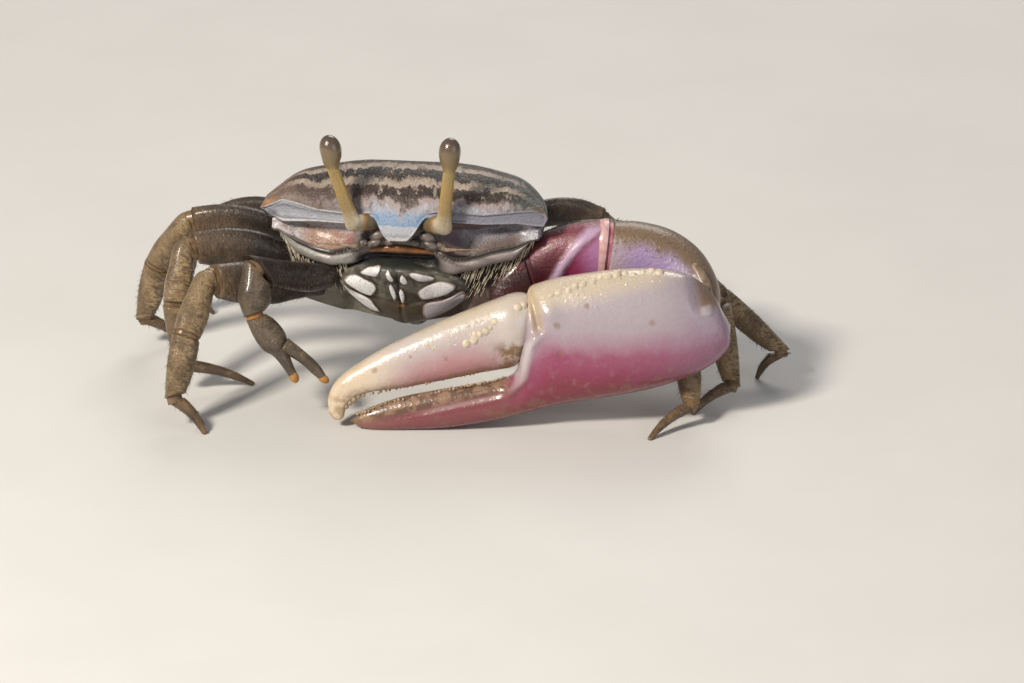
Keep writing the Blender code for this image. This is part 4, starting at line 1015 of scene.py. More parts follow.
def thorax_stations(x):
    """A section of the body under the carapace, from the eye socket round the face and belly."""
    u, w = abs(x) / THORAX_HALF_WIDTH, abs(x) / HALF_WIDTH
    fy, ry, mz = front_y(w), rear_y(w), margin_z(w)
    scale = min(1.0, (ry - fy) / 6.0)
    socket = smoothstep(2.0, 3.2, abs(x))
    deep = scale * (1.0 - 0.6 * smoothstep(8.4, 10.0, abs(x)))
    mouth = 1.0 - smoothstep(4.2, 5.2, abs(x))
    recess = MOUTH_RECESS * mouth
    under = shell_depth(w) + GAP * 0.3 + 0.25 * u**4
    top = mz - under
    rz = min(ridge_z(x), top - 0.9 * scale)
    low = min(breast_z(u), rz - 0.5)
    tall = min(1.0, (rz - low) / 5.0)
    face_foot = mix(-4.4, fy + 1.6, u**1.5)
    rear_foot = mix(4.6, ry - 1.6 * scale, u**1.5)
    ridge_y = fy + mix(0.75, 0.1, socket) * scale
    band = mix(1.5, 1.0, smoothstep(3.0, 5.0, abs(x))) * tall
    band_top = rz - 0.3 * tall
    cheek = mix(fy + 0.35, face_foot, 0.42) + recess + 0.35 * socket * (1 - mouth)
    stations = [
        (fy + 0.6 * scale, top + 0.1),
        (fy + mix(0.9, 1.15, socket) * deep, mix(top, rz, 0.12)),
        (fy + mix(0.9, 1.1, socket) * deep, mix(top, rz, 0.34)),
        (fy + mix(0.85, 0.82, socket) * deep, mix(top, rz, 0.58)),
        (fy + mix(0.8, 0.42, socket) * deep, mix(top, rz, 0.82)),
        (ridge_y + 0.02, rz + 0.02),
        (ridge_y, rz - 0.16 * tall),
        (ridge_y + 0.22 * scale * socket, rz - 0.34 * tall),
        (ridge_y + 0.06 * scale * socket, band_top - band * 0.35),
        (ridge_y + 0.14 * scale * socket, band_top - band * 0.72),
        (ridge_y + 0.42 * scale * socket, band_top - band * 0.96),
        (ridge_y + (0.85 * socket + 0.2 * recess) * scale, band_top - band * 1.12),
        (mix(ridge_y + 0.9, cheek, 0.6), mix(band_top - band, low, 0.33)),
        (mix(fy + 0.35, face_foot, 0.62) + recess, mix(band_top - band, low, 0.62)),
        (mix(fy + 0.35, face_foot, 0.84) + recess * 0.8, mix(band_top, low, 0.88)),
        (face_foot + recess * 0.6, low + 0.30 * scale),
        (mix(face_foot, rear_foot, 0.22), low),
        (mix(face_foot, rear_foot, 0.5), low - 0.1 * scale),
        (mix(face_foot, rear_foot, 0.78), low + 0.15 * scale),
        (rear_foot, low + 0.9 * scale),
        (mix(rear_foot, ry, 0.75), mix(low, rear_z(w) - under, 0.6)),
        (ry - 0.35 * scale, rear_z(w) - under + 0.1),
    ]
    return finer([(x, y, z) for y, z in stations], 6)


def make_thorax(material):
    """The body's shell, with a dark hollow over the mouth plates."""
    front_points, hollow_depth, hollow_z = 90, 0.8, 11.3
    rings, spots = [], []
    for share in np.linspace(-1.0, 1.0, 121):
        x = THORAX_END_X * math.sin(math.pi / 2 * share)
        line = thorax_stations(x)
        front = line[:front_points]
        near = hollow_depth * smoothstep(3.3, 2.5, abs(x - MOUTH_X))
        front[:, 1] += near * np.exp(-(((front[:, 2] - hollow_z) / 0.4) ** 2))
        rings.append([body_to_floor(p) for p in line])
        spots.append([(x, share, z) for share, (x, _, z) in zip(np.linspace(0.0, 1.0, len(line)), line)])
    grid, places = close_ends(np.array(rings), {"place": np.array(spots)}, 0.15, 0.15)
    return grid_piece("body_shell", grid, places, material, "body", ["thorax"])


# Mouth. Outlines are on the body's face plan, as (x, height), seen from the front
MOUTH_FIELD = [(-5.0, 9.3), (-4.3, 10.22), (-2.9, 10.98), (-1.2, 11.14), (0.6, 10.98), (2.6, 10.49),
               (4.2, 9.9), (5.0, 8.98), (4.85, 7.9), (3.6, 6.82), (1.7, 5.85), (-0.4, 5.36), (-1.9, 6.06),
               (-3.3, 6.6), (-4.6, 7.79)]
# Each plate as (how grey it is, outline)
MOUTH_PLATES = {
    "right": [
        (0.15, [(-3.36, 10.11), (-2.9, 10.54), (-2.35, 10.82), (-1.6, 10.88), (-1.75, 10.26), (-2.1, 9.91),
                (-2.8, 9.93)]),
        (0.0, [(-4.72, 9.26), (-4.35, 9.79), (-3.66, 9.95), (-2.9, 9.59), (-2.2, 9.12), (-2.13, 8.55),
               (-2.62, 7.91), (-3.2, 8.08), (-4.0, 8.58)]),
        (0.35, [(-4.88, 9.03), (-4.5, 8.64), (-3.7, 8.14), (-2.74, 7.63), (-2.35, 7.02), (-1.99, 6.36),
                (-2.96, 6.66), (-4.3, 7.86)]),
        (0.1, [(-1.2, 10.38), (-1.0, 10.77), (-0.75, 10.32), (-0.62, 9.76), (-0.85, 9.59), (-1.1, 9.87)]),
        (0.1, [(-1.1, 9.03), (-0.92, 9.37), (-0.7, 8.92), (-0.6, 8.14), (-0.78, 7.69), (-1.0, 8.25)]),
    ],
    "left": [
        (0.45, [(0.6, 10.49), (1.13, 10.57), (2.0, 10.32), (2.58, 9.98), (2.3, 9.76), (1.7, 9.7),
                (1.0, 9.86)]),
        (0.25, [(1.0, 8.47), (1.45, 9.03), (2.2, 9.48), (3.06, 9.77), (4.0, 9.45), (4.1, 9.03), (3.5, 8.56),
                (2.14, 7.93), (1.3, 7.86)]),
        (0.8, [(1.25, 7.02), (1.6, 7.53), (2.7, 7.82), (3.6, 8.25), (4.5, 8.79), (4.86, 8.56), (4.66, 7.87),
               (3.49, 6.88), (2.31, 6.29), (1.35, 6.01)]),
        (0.1, [(0.1, 10.43), (0.38, 10.04), (0.45, 9.54), (0.15, 9.37), (-0.12, 9.65), (-0.1, 10.04)]),
        (0.1, [(-0.2, 8.92), (0.02, 8.64), (0.05, 8.02), (-0.15, 7.46), (-0.38, 7.91), (-0.38, 8.53)]),
    ],
}


def outline_levels(outline, levels, steps):
    """Closed smooth curves inside an outline of the face plan, with (x, height, share of the size, lift) for
    each point. levels holds (share of the size, lift) for each curve."""
    curve = finer(outline, steps, closed=True)
    middle = curve.mean(0)
    return [[(*(middle + (point - middle) * share), share, lift) for point in curve]
            for share, lift in levels]


def body_cast(trees, x, z, lift):
    """The foremost point of some surfaces at (x, z) of the body's face plan, lifted off them."""
    ahead = body_turn() @ Vector((0, 1, 0))
    start = (body_to_floor((x, -20.0, z)) + ORIGIN_SHIFT) * MM
    hits = [tree.ray_cast(start, ahead) for tree in trees]
    at = min((hit for hit in hits if hit[0]), key=lambda hit: hit[3])[0]
    return at / MM - ORIGIN_SHIFT - ahead * lift


def make_mouth(thorax_tree, tissue, plates, rust):
    """The soft field over the third maxillipeds, the shell plates set in it, and the arc over it."""
    levels = [(1.0, -0.6), (1.0, 0.2), (0.985, 0.42), (0.95, 0.58), (0.9, 0.7), (0.82, 0.8), (0.72, 0.87)]
    levels += [(0.72 * (1.0 - t), 0.87 + 0.11 * t) for t in np.arange(1, 15) / 14]
    rows = outline_levels(MOUTH_FIELD, levels, 8)

    def seam(x, z):
        across = abs(x - SEAM_X)
        upright = 0.22 * bell(across, 0.0, 0.09) + 0.1 * bell(across, 1.45, 0.18) * smoothstep(7.0, 8.4, z)
        return upright + 0.14 * bell(z, 7.24 + 0.25 * across, 0.12)

    grid = [[body_cast([thorax_tree], x, z, lift - seam(x, z) * (lift > 0.5)) for x, z, _, lift in row]
            for row in rows]
    bodies = [[(x, 0.0, z) for x, z, _, _ in row] for row in rows]
    cushion = grid_piece("mouth_cushion", np.array(grid), {"body": bodies}, tissue, "mouth",
                         ["maxilliped_right", "maxilliped_left"])
    trees = [surface_tree(cushion), thorax_tree]
    for side_name, outlines in MOUTH_PLATES.items():
        for number, (shade, outline) in enumerate(outlines, 1):
            make_mouth_plate("mouth_plate_%s_%d" % (side_name, number), shade, outline, trees, plates)
    path = [body_to_floor((MOUTH_X + 3.1 * s, -6.1 + 0.25 * s * s, 12.18 - 0.42 * s * s))
            for s in np.linspace(-1, 1, 9)]
    form = [(0.0, 0.12, 0.14), (0.2, 0.24, 0.24), (0.5, 0.33, 0.3), (0.8, 0.24, 0.24), (1.0, 0.12, 0.14)]
    limb("mouth_arc", rust, "mouth", (), path, form, body_turn() @ FORWARD, 0.1, 0.1, columns=20)


def make_mouth_plate(name, shade, outline, trees, material):
    levels = [(0.97, -0.12), (0.97, 0.03), (0.95, 0.11), (0.9, 0.16), (0.8, 0.19), (0.6, 0.22),
              (0.3, 0.235), (0.0, 0.24)]
    rows = outline_levels(outline, levels, 5)
    grid = np.array([[body_cast(trees, x, z, lift) for x, z, _, lift in row] for row in rows])
    spots = [[(share / levels[0][0], 0.0, shade) for _, _, share, _ in row] for row in rows]
    grid_piece(name, grid, {"place": spots}, material, "mouth")


def make_face_knobs(material):
    """Folded antennules, knobs between the lobe and the mouth, and beads along the rims of the sockets."""
    knobs = []
    for side in (-1, 1):
        tilt = body_turn() @ Vector((1, 0, -0.35 * side))
        for x, y, z, size, stretch in ((1.95, -6.5, 13.35, 0.42, 1.7), (2.2, -6.6, 12.75, 0.34, 1.9),
                                       (1.0, -6.5, 12.85, 0.3, 1.6), (3.1, -6.65, 12.75, 0.3, 1.5)):
            knobs.append((body_to_floor((side * x + 0.1, y, z)), size, stretch, tilt))
        for i in range(9):
            x = side * (2.7 + 0.28 * i)
            knobs.append((body_to_floor((x, -6.95, ridge_z(x) + 0.02)), 0.1, 1.0, tilt))
    joined_blobs("face_knobs", knobs, material)


def make_abdomen(thorax_tree, material):
    """The narrow folded abdomen under the belly, as a ladder of plates."""
    rows = [(6.2, 1.9), (4.6, 2.1), (3.0, 1.75), (1.2, 1.4), (-0.2, 1.05), (-1.4, 0.7)]
    section = ((1.0, -0.5), (0.3, -0.5), (-0.3, -0.5), (-1.0, -0.5), (-0.97, 0.6),
               (-0.8, 0.85), (-0.3, 0.92), (0.3, 0.92), (0.8, 0.85), (0.97, 0.6))
    up = body_turn() @ UP
    rings = []
    for y, half in rows:
        hits = [cast(thorax_tree, body_to_floor((half * share, y, -5.0)), up)[0] for share, _ in section]
        rings.append([hit - up * lift for hit, (_, lift) in zip(hits, section)])
    grid = np.stack([finer(ring, 4, closed=True) for ring in finer(rings, 8)])
    for row, ring in enumerate(grid):
        step = bell((row % 8) / 8.0, 0.0, 0.12) + bell((row % 8) / 8.0, 1.0, 0.12)
        grid[row] = mix(ring, ring.mean(0), 0.05 * step)
    grid_piece("abdomen_plates", *close_ends(grid, {}, 0.15, 0.15), material, "body", ["abdomen"])


# Eyes and feelers
def eye_path(side_name):
    mirror = Vector((-1 if side_name == "left" else 1, 1, 1))
    root, base, top = STALK_ROOT * mirror, STALK_BASE * mirror, STALK_TOP[side_name]
    bend = base.lerp(top, 0.35) + Vector((0, -0.1, 0))
    path = [root, root.lerp(base, 0.6), base]
    path += bezier(base, base.lerp(bend, 0.6), bend, top, (0.2, 0.45, 0.7, 1.0))
    return [body_to_floor(p) for p in path]


def eye_width(t):
    """Radius of the eye from its neck at 0 to its rounded top at 1."""
    if t < EYE_WIDEST:
        return mix(EYE_NECK, EYE_RADIUS, math.sin(math.pi / 2 * t / EYE_WIDEST))
    return EYE_RADIUS * math.sqrt(max(0.0, 1.0 - ((t - EYE_WIDEST) / (1.0 - EYE_WIDEST)) ** 2))


def make_eye(side_name, stalk_paint, eye_paint):
    """An eyestalk and the long eye on it, which leans from the stalk's line to upright."""
    path = eye_path(side_name)
    form = [(0.0, 0.62, 0.62), (0.17, 0.66, 0.66), (0.34, 0.74, 0.70), (0.45, 0.6, 0.58), (0.6, 0.53, 0.53),
            (0.85, 0.48, 0.48), (1.0, 0.46, 0.46)]
    limb("stalk_" + side_name, stalk_paint, "stalk", ["eyestalk_" + side_name], path, form,
         body_turn() @ Vector((0, -1, 0.05)), 0.2, 0.32, columns=32, power=2.0)
    axis = (path[-1] - path[-2]).normalized()
    start = path[-1] - axis * 0.25
    upward = (axis * 0.35 + UP).normalized()
    steps = 40
    rows, spots = [], []
    for i in range(steps):
        t = 0.5 - 0.5 * math.cos(math.pi * i / (steps - 1))
        lean = axis.lerp(upward, smoothstep(0.0, 0.4, t)).normalized()
        centre = start + axis * 0.25 * t + lean * (EYE_LENGTH + 0.05) * t
        wide = Vector((1, 0, 0))
        deep = lean.cross(wide).normalized()
        turns = [(math.cos(math.tau * k / steps), math.sin(math.tau * k / steps)) for k in range(steps)]
        rows.append([centre + (wide * c + deep * s) * eye_width(t) for c, s in turns])
        spots.append([(t, c, s) for c, s in turns])
    grid_piece("eyeball_" + side_name, np.array(rows), {"place": spots}, eye_paint, "eye",
               ["eye_" + side_name])


def make_antenna(side_name, material):
    side = Vector((-1 if side_name == "right" else 1, 1, 1))
    root, bend, tip = (Vector(p) * side for p in ((3.0, -6.35, 12.6), (3.6, -7.0, 12.6), (6.4, -7.15, 12.75)))
    path = [root, root.lerp(bend, 0.55), bend, bend.lerp(tip, 0.35), bend.lerp(tip, 0.7), tip]
    path = [body_to_floor(p) for p in path]
    form = [(0.0, 0.3, 0.3), (0.4, 0.18, 0.18), (0.6, 0.09, 0.09), (1.0, 0.04, 0.04)]
    limb("feeler_" + side_name, material, "leg_tip", ["antenna_" + side_name], path, form, UP,
         end_dome=0.05, columns=14)


# Great claw, as (along, height, out) from its heel. Outlines are (along at the top, along at the foot, top,
# foot, half thickness)
PALM_OUTLINE = [
    (0.3, 0.25, 1.4, -0.55, 1.0), (0.8, 0.6, 3.0, -1.2, 1.6), (2.0, 1.9, 4.7, -2.1, 2.15),
    (4.2, 4.2, 5.8, -2.7, 2.55), (7.3, 7.3, 6.5, -2.95, 2.75), (11.0, 11.0, 6.85, -2.8, 2.6),
    (13.4, 13.8, 6.85, -2.6, 2.3), (14.5, 15.0, 6.45, -2.6, 2.1), (15.2, 15.8, 4.3, -2.62, 1.9),
    (16.1, 16.6, 1.9, -2.65, 1.7), (17.0, 17.4, 0.45, -2.68, 1.5), (19.6, 19.6, 0.3, -2.72, 1.35),
    (22.7, 22.7, 0.5, -2.5, 1.2), (25.8, 25.6, 0.58, -2.0, 1.0), (28.2, 28.0, 0.3, -1.5, 0.75),
    (29.5, 29.3, -0.15, -1.0, 0.4),
]
FINGER_OUTLINE = [
    (14.1, 15.9, 5.3, 1.6, 1.2), (14.6, 16.5, 6.2, 1.15, 1.6), (15.4, 17.1, 6.5, 0.98, 1.72),
    (16.6, 17.9, 6.42, 1.02, 1.75), (19.2, 19.6, 6.02, 1.1, 1.7), (22.4, 22.2, 5.45, 1.15, 1.55),
    (25.6, 25.2, 4.7, 1.25, 1.35), (28.4, 27.6, 3.8, 1.45, 1.1), (30.2, 29.0, 2.95, 1.4, 0.9),
    (31.15, 29.85, 1.85, 0.9, 0.72), (31.35, 30.2, 0.8, 0.35, 0.5),
]


def claw_axes():
    dip, toe, lean = (math.radians(a) for a in (CLAW_DIP, CLAW_TOE, CLAW_LEAN))
    along = Vector((-math.cos(dip) * math.cos(toe), -math.cos(dip) * math.sin(toe), -math.sin(dip)))
    up = Vector((0.0, math.sin(lean), math.cos(lean)))
    up = (up - along * up.dot(along)).normalized()
    return along, up, up.cross(along).normalized()


def claw_point(a, h, n):
    along, up, out = claw_axes()
    return CLAW_AT + along * a + up * h + out * n


def claw_half(outline, a, h):
    """How far out of the claw's plane its face is at (a, h)."""
    starts, _, tops, feet, halves = zip(*outline)
    top, foot, half = (np.interp(a, starts, values) for values in (tops, feet, halves))
    s = min(1.0, abs(2.0 * (h - foot) / (top - foot) - 1.0))
    return half * max(0.0, 1.0 - s**CLAW_SQUARENESS) ** (1.0 / CLAW_SQUARENESS)


def claw_part(name, outline, tip, relief, bluntness, material, node):
    """The palm or the finger of the great claw. bluntness is 1 for a pointed end and 2 for a round one, and
    relief says how far the outer face is raised at (along, height, out)."""
    columns = 112
    wide, high = squared_circle(np.arange(columns) * math.tau / columns, CLAW_SQUARENESS)
    share = 0.5 + 0.5 * high
    flat = finer([np.stack([mix(a_low, a_top, share), mix(foot, top, share), wide * half], -1)
                  for a_top, a_low, top, foot, half in outline], 7)
    first, last = flat[0].mean(0), flat[-1].mean(0)
    heel = [first + (flat[0] - first) * k - np.array((0.28 * (1 - k), 0, 0)) for k in (0.0, 0.45, 0.8)]
    tips = [mix(last, np.array(tip), k) + (flat[-1] - last) * (1.0 - k**bluntness) ** (1.0 / bluntness)
            for k in (0.35, 0.65, 0.88, 1.0)]
    flat = np.concatenate([heel, flat, tips])
    for row in flat:
        for point in row:
            if point[2] > 0.2:
                point[2] += relief(*point)
    along, up, out = (np.array(v) for v in claw_axes())
    grid = np.array(CLAW_AT) + flat[..., :1] * along + flat[..., 1:2] * up + flat[..., 2:] * out
    grid_piece(name, grid, {"place": flat}, material, "claw", [node])


def palm_relief(a, h, n):
    """Swellings and grooves on the outer face of the palm."""
    ridge = 0.42 * bell(a, ridge_line(h, max), 0.6) * smoothstep(-1.5, -0.3, h) * smoothstep(3.7, 2.9, h)
    groove = -0.5 * bell(a, 14.3 + 0.04 * (h - 4.5) ** 2, 0.26) * smoothstep(3.0, 3.7, h)
    knob = 0.3 * bell(a, 13.3, 0.7) * bell(h, 4.6, 1.1) + 0.25 * bell(a, 15.2, 0.4) * bell(h, 4.6, 1.4)
    dent = -0.22 * bell(a, 13.05, 0.3) * bell(h, 1.45, 0.25)
    shelf = -0.35 * smoothstep(2.7, 2.1, a) * smoothstep(1.9, 2.8, h)
    point = 0.18 * bell(a, 1.6, 0.4) * bell(h, 2.2, 0.4)
    crease = -0.12 * bell(h, -0.75, 0.3) * smoothstep(17.0, 18.5, a) * smoothstep(28.0, 26.0, a)
    return smoothstep(0.2, 0.9, n) * (ridge + groove + knob + dent + shelf + point + crease)


def finger_relief(a, h, n):
    swell = 0.22 * bell(a, 16.3, 0.9) * bell(h, 4.6, 1.4)
    hollow = -0.16 * bell(a, 17.4, 0.8) * bell(h, 2.0, 0.8)
    return smoothstep(0.2, 0.8, n) * (swell + hollow)


def make_great_claw():
    claw_part("great_palm", PALM_OUTLINE, (30.0, -0.3, 0.0), palm_relief, 1, palm_material(), "major_palm")
    claw_part("great_finger", FINGER_OUTLINE, (30.9, -0.1, 0.0), finger_relief, 2, finger_material(),
              "major_dactyl")
    joined_blobs("palm_beads", palm_beads(), bead_material("ivory_beads", (0.68, 0.57, 0.44)))
    joined_blobs("claw_teeth", claw_teeth(), bead_material("brown_teeth", (0.40, 0.29, 0.19)))


def palm_beads():
    """Granules along the upper margin of the palm and over the base of the finger."""
    rng = random.Random(7)
    beads = []

    def add(outline, a, h, size, sunk):
        half = claw_half(outline, a, h)
        if half > 0.3:
            lean = Vector((0.0, -0.6, 0.5)) if h > 5 else claw_axes()[2]
            beads.append((claw_point(a, h, half - sunk * size), size, 0.85, lean))

    for i in range(15):
        a = 4.5 + i * 0.64 + rng.uniform(-0.12, 0.12)
        h = 5.72 + 0.5 * math.sin(math.pi * i / 14) + rng.uniform(-0.12, 0.12)
        add(PALM_OUTLINE, a, h, rng.uniform(0.3, 0.44), 0.3)
    for _ in range(46):
        add(PALM_OUTLINE, rng.uniform(4.0, 13.4), rng.uniform(5.1, 6.6), rng.uniform(0.09, 0.17), 0.35)
    for i in range(13):
        a = 15.0 + 0.4 * i + rng.uniform(-0.15, 0.15)
        add(FINGER_OUTLINE, a, 5.4 - 0.12 * i + rng.uniform(-0.35, 0.2), rng.uniform(0.24, 0.42), 0.35)
    for _ in range(40):
        a = rng.uniform(15.0, 23.0)
        h = 5.7 - 0.19 * (a - 15.2) + rng.uniform(-0.9, 0.1)
        add(FINGER_OUTLINE, a, h, rng.uniform(0.06, 0.14), 0.35)
    return beads


def claw_teeth():
    """Low teeth on both fingers, with larger ones inside the hooked tip."""
    rng = random.Random(3)
    up = claw_axes()[1]
    teeth = []
    for i in range(30):
        a = 18.2 + i * 0.34 + rng.uniform(-0.1, 0.1)
        h = 1.16 + 0.02 * (a - 17.5) + rng.uniform(-0.02, 0.02)
        teeth.append((claw_point(a, h, rng.uniform(0.0, 0.7)), rng.uniform(0.07, 0.13), 1.1, up))
    for a, h, size in ((28.5, 1.45, 0.2), (28.9, 1.4, 0.22), (29.3, 1.25, 0.24), (29.65, 1.05, 0.22),
                       (29.95, 0.8, 0.18)):
        teeth.append((claw_point(a, h, 0.3), size, 1.1, up))
    for i in range(60):
        a = 17.4 + i * 0.2 + rng.uniform(-0.06, 0.06)
        h = 0.3 + 0.02 * min(6.0, a - 17.5) - 0.16 * max(0.0, a - 27.0) + rng.uniform(-0.05, 0.05)
        teeth.append((claw_point(a, h, rng.uniform(0.0, 0.75)), rng.uniform(0.07, 0.16), 1.0, up))
    return teeth


def make_great_arm(thorax_tree, paints):
    """The joints that carry the great claw, from the body to the wrist."""
    hit, normal = cast(thorax_tree, (10.2, -9.5, 2.5), (-0.42, 0.6, 0.8))
    elbow, root_end = Vector((15.5, -4.75, 11.15)), Vector((9.7, -5.1, 9.7))
    root_cut = (elbow - root_end).normalized()
    elbow_cut = Vector((1.0, 0.0, -0.12)).normalized()
    path = bezier(hit - normal * 0.8, hit + normal * 0.9, root_end - Vector((1.2, 0, 0.4)), root_end,
                  (0.0, 0.35, 0.7, 1.0))
    form = [(0.0, 1.4, 1.2), (0.5, 1.7, 1.35), (1.0, 2.05, 1.45)]
    limb("great_ischium", paints["ischium"], "arm", ["major_ischium"], path, form, FORWARD, end_cut=root_cut)

    path = straight_path(root_end + root_cut * GAP, elbow, 5, UP * 0.3)
    form = [(0.0, 2.1, 1.45), (0.3, 2.65, 1.7), (0.7, 2.85, 1.9), (1.0, 2.75, 1.95)]
    shape = {"start_cut": root_cut, "end_cut": elbow_cut, "columns": 72, "steps": 12}
    grid, places = limb_rings(path, form, FORWARD, **shape)
    along, side, up = np.moveaxis(places["place"], -1, 0)
    grid[..., 1] -= 0.28 * np.exp(-((merus_lane(along, up) / 0.16) ** 2)) * np.clip(side, 0, 1)
    grid_piece("great_merus", *close_ends(grid, places, edge=0.2), paints["great_merus"], "arm",
               ["major_merus"])

    path = bezier(elbow + elbow_cut * GAP, Vector((19.6, -4.6, 11.5)), Vector((22.4, -5.0, 10.2)),
                  claw_point(2.3, 1.0, -1.4), (0.0, 0.2, 0.4, 0.6, 0.8, 1.0))
    form = [(0.0, 2.7, 1.9), (0.2, 2.6, 2.1), (0.5, 2.45, 2.2), (0.8, 2.1, 1.9), (1.0, 1.6, 1.5)]
    limb("great_carpus", paints["great_carpus"], "arm", ["major_carpus"], path, form, FORWARD, edge=0.25,
         start_cut=elbow_cut, columns=72, steps=10)

    carpus_tree = surface_tree(bpy.data.objects["great_carpus"])
    wrist_ridges = (
        ("knob", ((1.5, 5.65, 1.0), (1.3, 5.2, 1.2), (1.24, 4.66, 1.3), (1.3, 4.2, 1.3), (1.49, 3.8, 1.3)),
         [(0.0, 0.28, 0.3), (0.4, 0.42, 0.44), (0.8, 0.38, 0.4), (1.0, 0.25, 0.25)], 0.12, (0.3, 0.25), 32),
        ("rim", ((1.0, 6.0, -0.4), (0.64, 5.5, 0.1), (0.4, 4.6, 0.4), (0.2, 3.6, 0.6), (0.1, 2.4, 0.6)),
         [(0.0, 0.35, 0.35), (0.3, 0.5, 0.5), (0.7, 0.48, 0.48), (1.0, 0.35, 0.35)], 0.15, (0.4, 0.3), 40),
    )
    for label, spots, form, depth, domes, columns in wrist_ridges:
        path = [seat(carpus_tree, claw_point(*spot), depth) for spot in spots]
        limb("great_wrist_" + label, paints[label], "arm", (), path, form, claw_axes()[0], *domes,
             columns=columns)
    path = [elbow - elbow_cut * back for back in (0.75, 0.4, 0.02)]
    form = [(0.0, 2.72, 1.9), (0.5, 2.84, 2.02), (1.0, 2.86, 2.04)]
    limb("great_elbow_rim", paints["elbow_rim"], "arm", (), path, form, FORWARD)
    for label, joint, cut, size in (("shoulder", root_end, root_cut, (2.02, 1.4)),
                                    ("elbow", elbow, elbow_cut, (2.7, 1.9))):
        joint_skin("great_" + label + "_skin", paints[label + "_skin"], "arm", joint, cut, size, FORWARD,
                   (-0.8, 0.15, 1.0), columns=32)


# Feeding claw
def leg_facing(root, knee, foot):
    """Square to the plane in which a limb bends, on its forward side."""
    normal = (knee - root).cross(foot - knee).normalized()
    return normal if normal.y < 0 else -normal


def make_minor_claw(thorax_tree, paints):
    """The small claw on the crab's right. Returns the rings of its first joint, for hair."""
    shell = paints["feeding"]
    hit, normal = cast(thorax_tree, (-9.4, -9.5, 2.5), (0.42, 0.6, 0.8))
    root = hit + normal * 1.0
    elbow, wrist = Vector((-11.3, -8.6, 11.5)), Vector((-11.3, -9.9, 8.2))
    knuckle = Vector((-9.6, -10.3, 5.9))
    finger_tip, fixed_tip = Vector((-6.0, -11.0, 3.4)), Vector((-8.3, -10.9, 3.5))
    facing = leg_facing(root, elbow, fixed_tip)
    elbow_cut, wrist_cut = mitre(root, elbow, wrist), mitre(elbow, wrist, knuckle)

    end = beside(elbow, elbow_cut, (elbow - root).normalized(), -1)
    path = bezier(hit - normal * 0.6, root, root.lerp(elbow, 0.4), end, (0.0, 0.25, 0.5, 0.75, 1.0))
    form = [(0.0, 0.9, 0.8), (0.5, 1.15, 0.9), (1.0, 1.0, 0.85)]
    merus = limb("feeding_merus", paints["dark"], "leg", ["minor_merus"], path, form, facing,
                 end_cut=elbow_cut)

    along = (wrist - elbow).normalized()
    path = straight_path(beside(elbow, elbow_cut, along, 1), beside(wrist, wrist_cut, along, -1), 5)
    form = [(0.0, 0.8, 0.75), (0.25, 1.15, 0.95), (0.5, 1.35, 1.0), (0.75, 1.25, 0.95), (1.0, 0.8, 0.75)]
    limb("feeding_carpus", shell, "leg", ["minor_carpus"], path, form, facing, start_cut=elbow_cut,
         end_cut=wrist_cut)

    first = beside(wrist, wrist_cut, (knuckle - wrist).normalized(), 1)
    path = [first, first.lerp(knuckle, 0.4), first.lerp(knuckle, 0.85), knuckle.lerp(fixed_tip, 0.2),
            knuckle.lerp(fixed_tip, 0.6), fixed_tip]
    form = [(0.0, 0.75, 0.65), (0.2, 1.1, 0.8), (0.42, 1.15, 0.78), (0.62, 0.62, 0.5), (0.82, 0.38, 0.36),
            (1.0, 0.3, 0.3)]
    limb("feeding_palm", shell, "leg", ["minor_palm"], path, form, facing, end_dome=0.15, start_cut=wrist_cut)

    path = straight_path(knuckle + Vector((0.5, -0.05, 0.1)), finger_tip, 5, Vector((0.15, 0, 0.15)))
    form = [(0.0, 0.6, 0.5), (0.4, 0.45, 0.4), (0.8, 0.42, 0.38), (1.0, 0.25, 0.25)]
    limb("feeding_finger", shell, "leg_tip", ["minor_dactyl"], path, form, facing, end_dome=0.15, columns=32)
    tips = []
    for tip, radius in ((fixed_tip, 0.36), (finger_tip, 0.33)):
        axis = (tip - knuckle).normalized()
        tips.append((tip - axis * 0.1, radius, 1.5, axis))
    joined_blobs("feeding_tips", tips, paints["amber"], level=3)
    for label, joint, cut, size, skin in (("elbow", elbow, elbow_cut, 0.78, "skin"),
                                          ("wrist", wrist, wrist_cut, 0.66, "spot")):
        joint_skin("feeding_" + label + "_skin", paints[skin], "leg", joint, cut, (size, size), facing,
                   (-0.5, 0.0, 0.5), columns=24)
    return merus


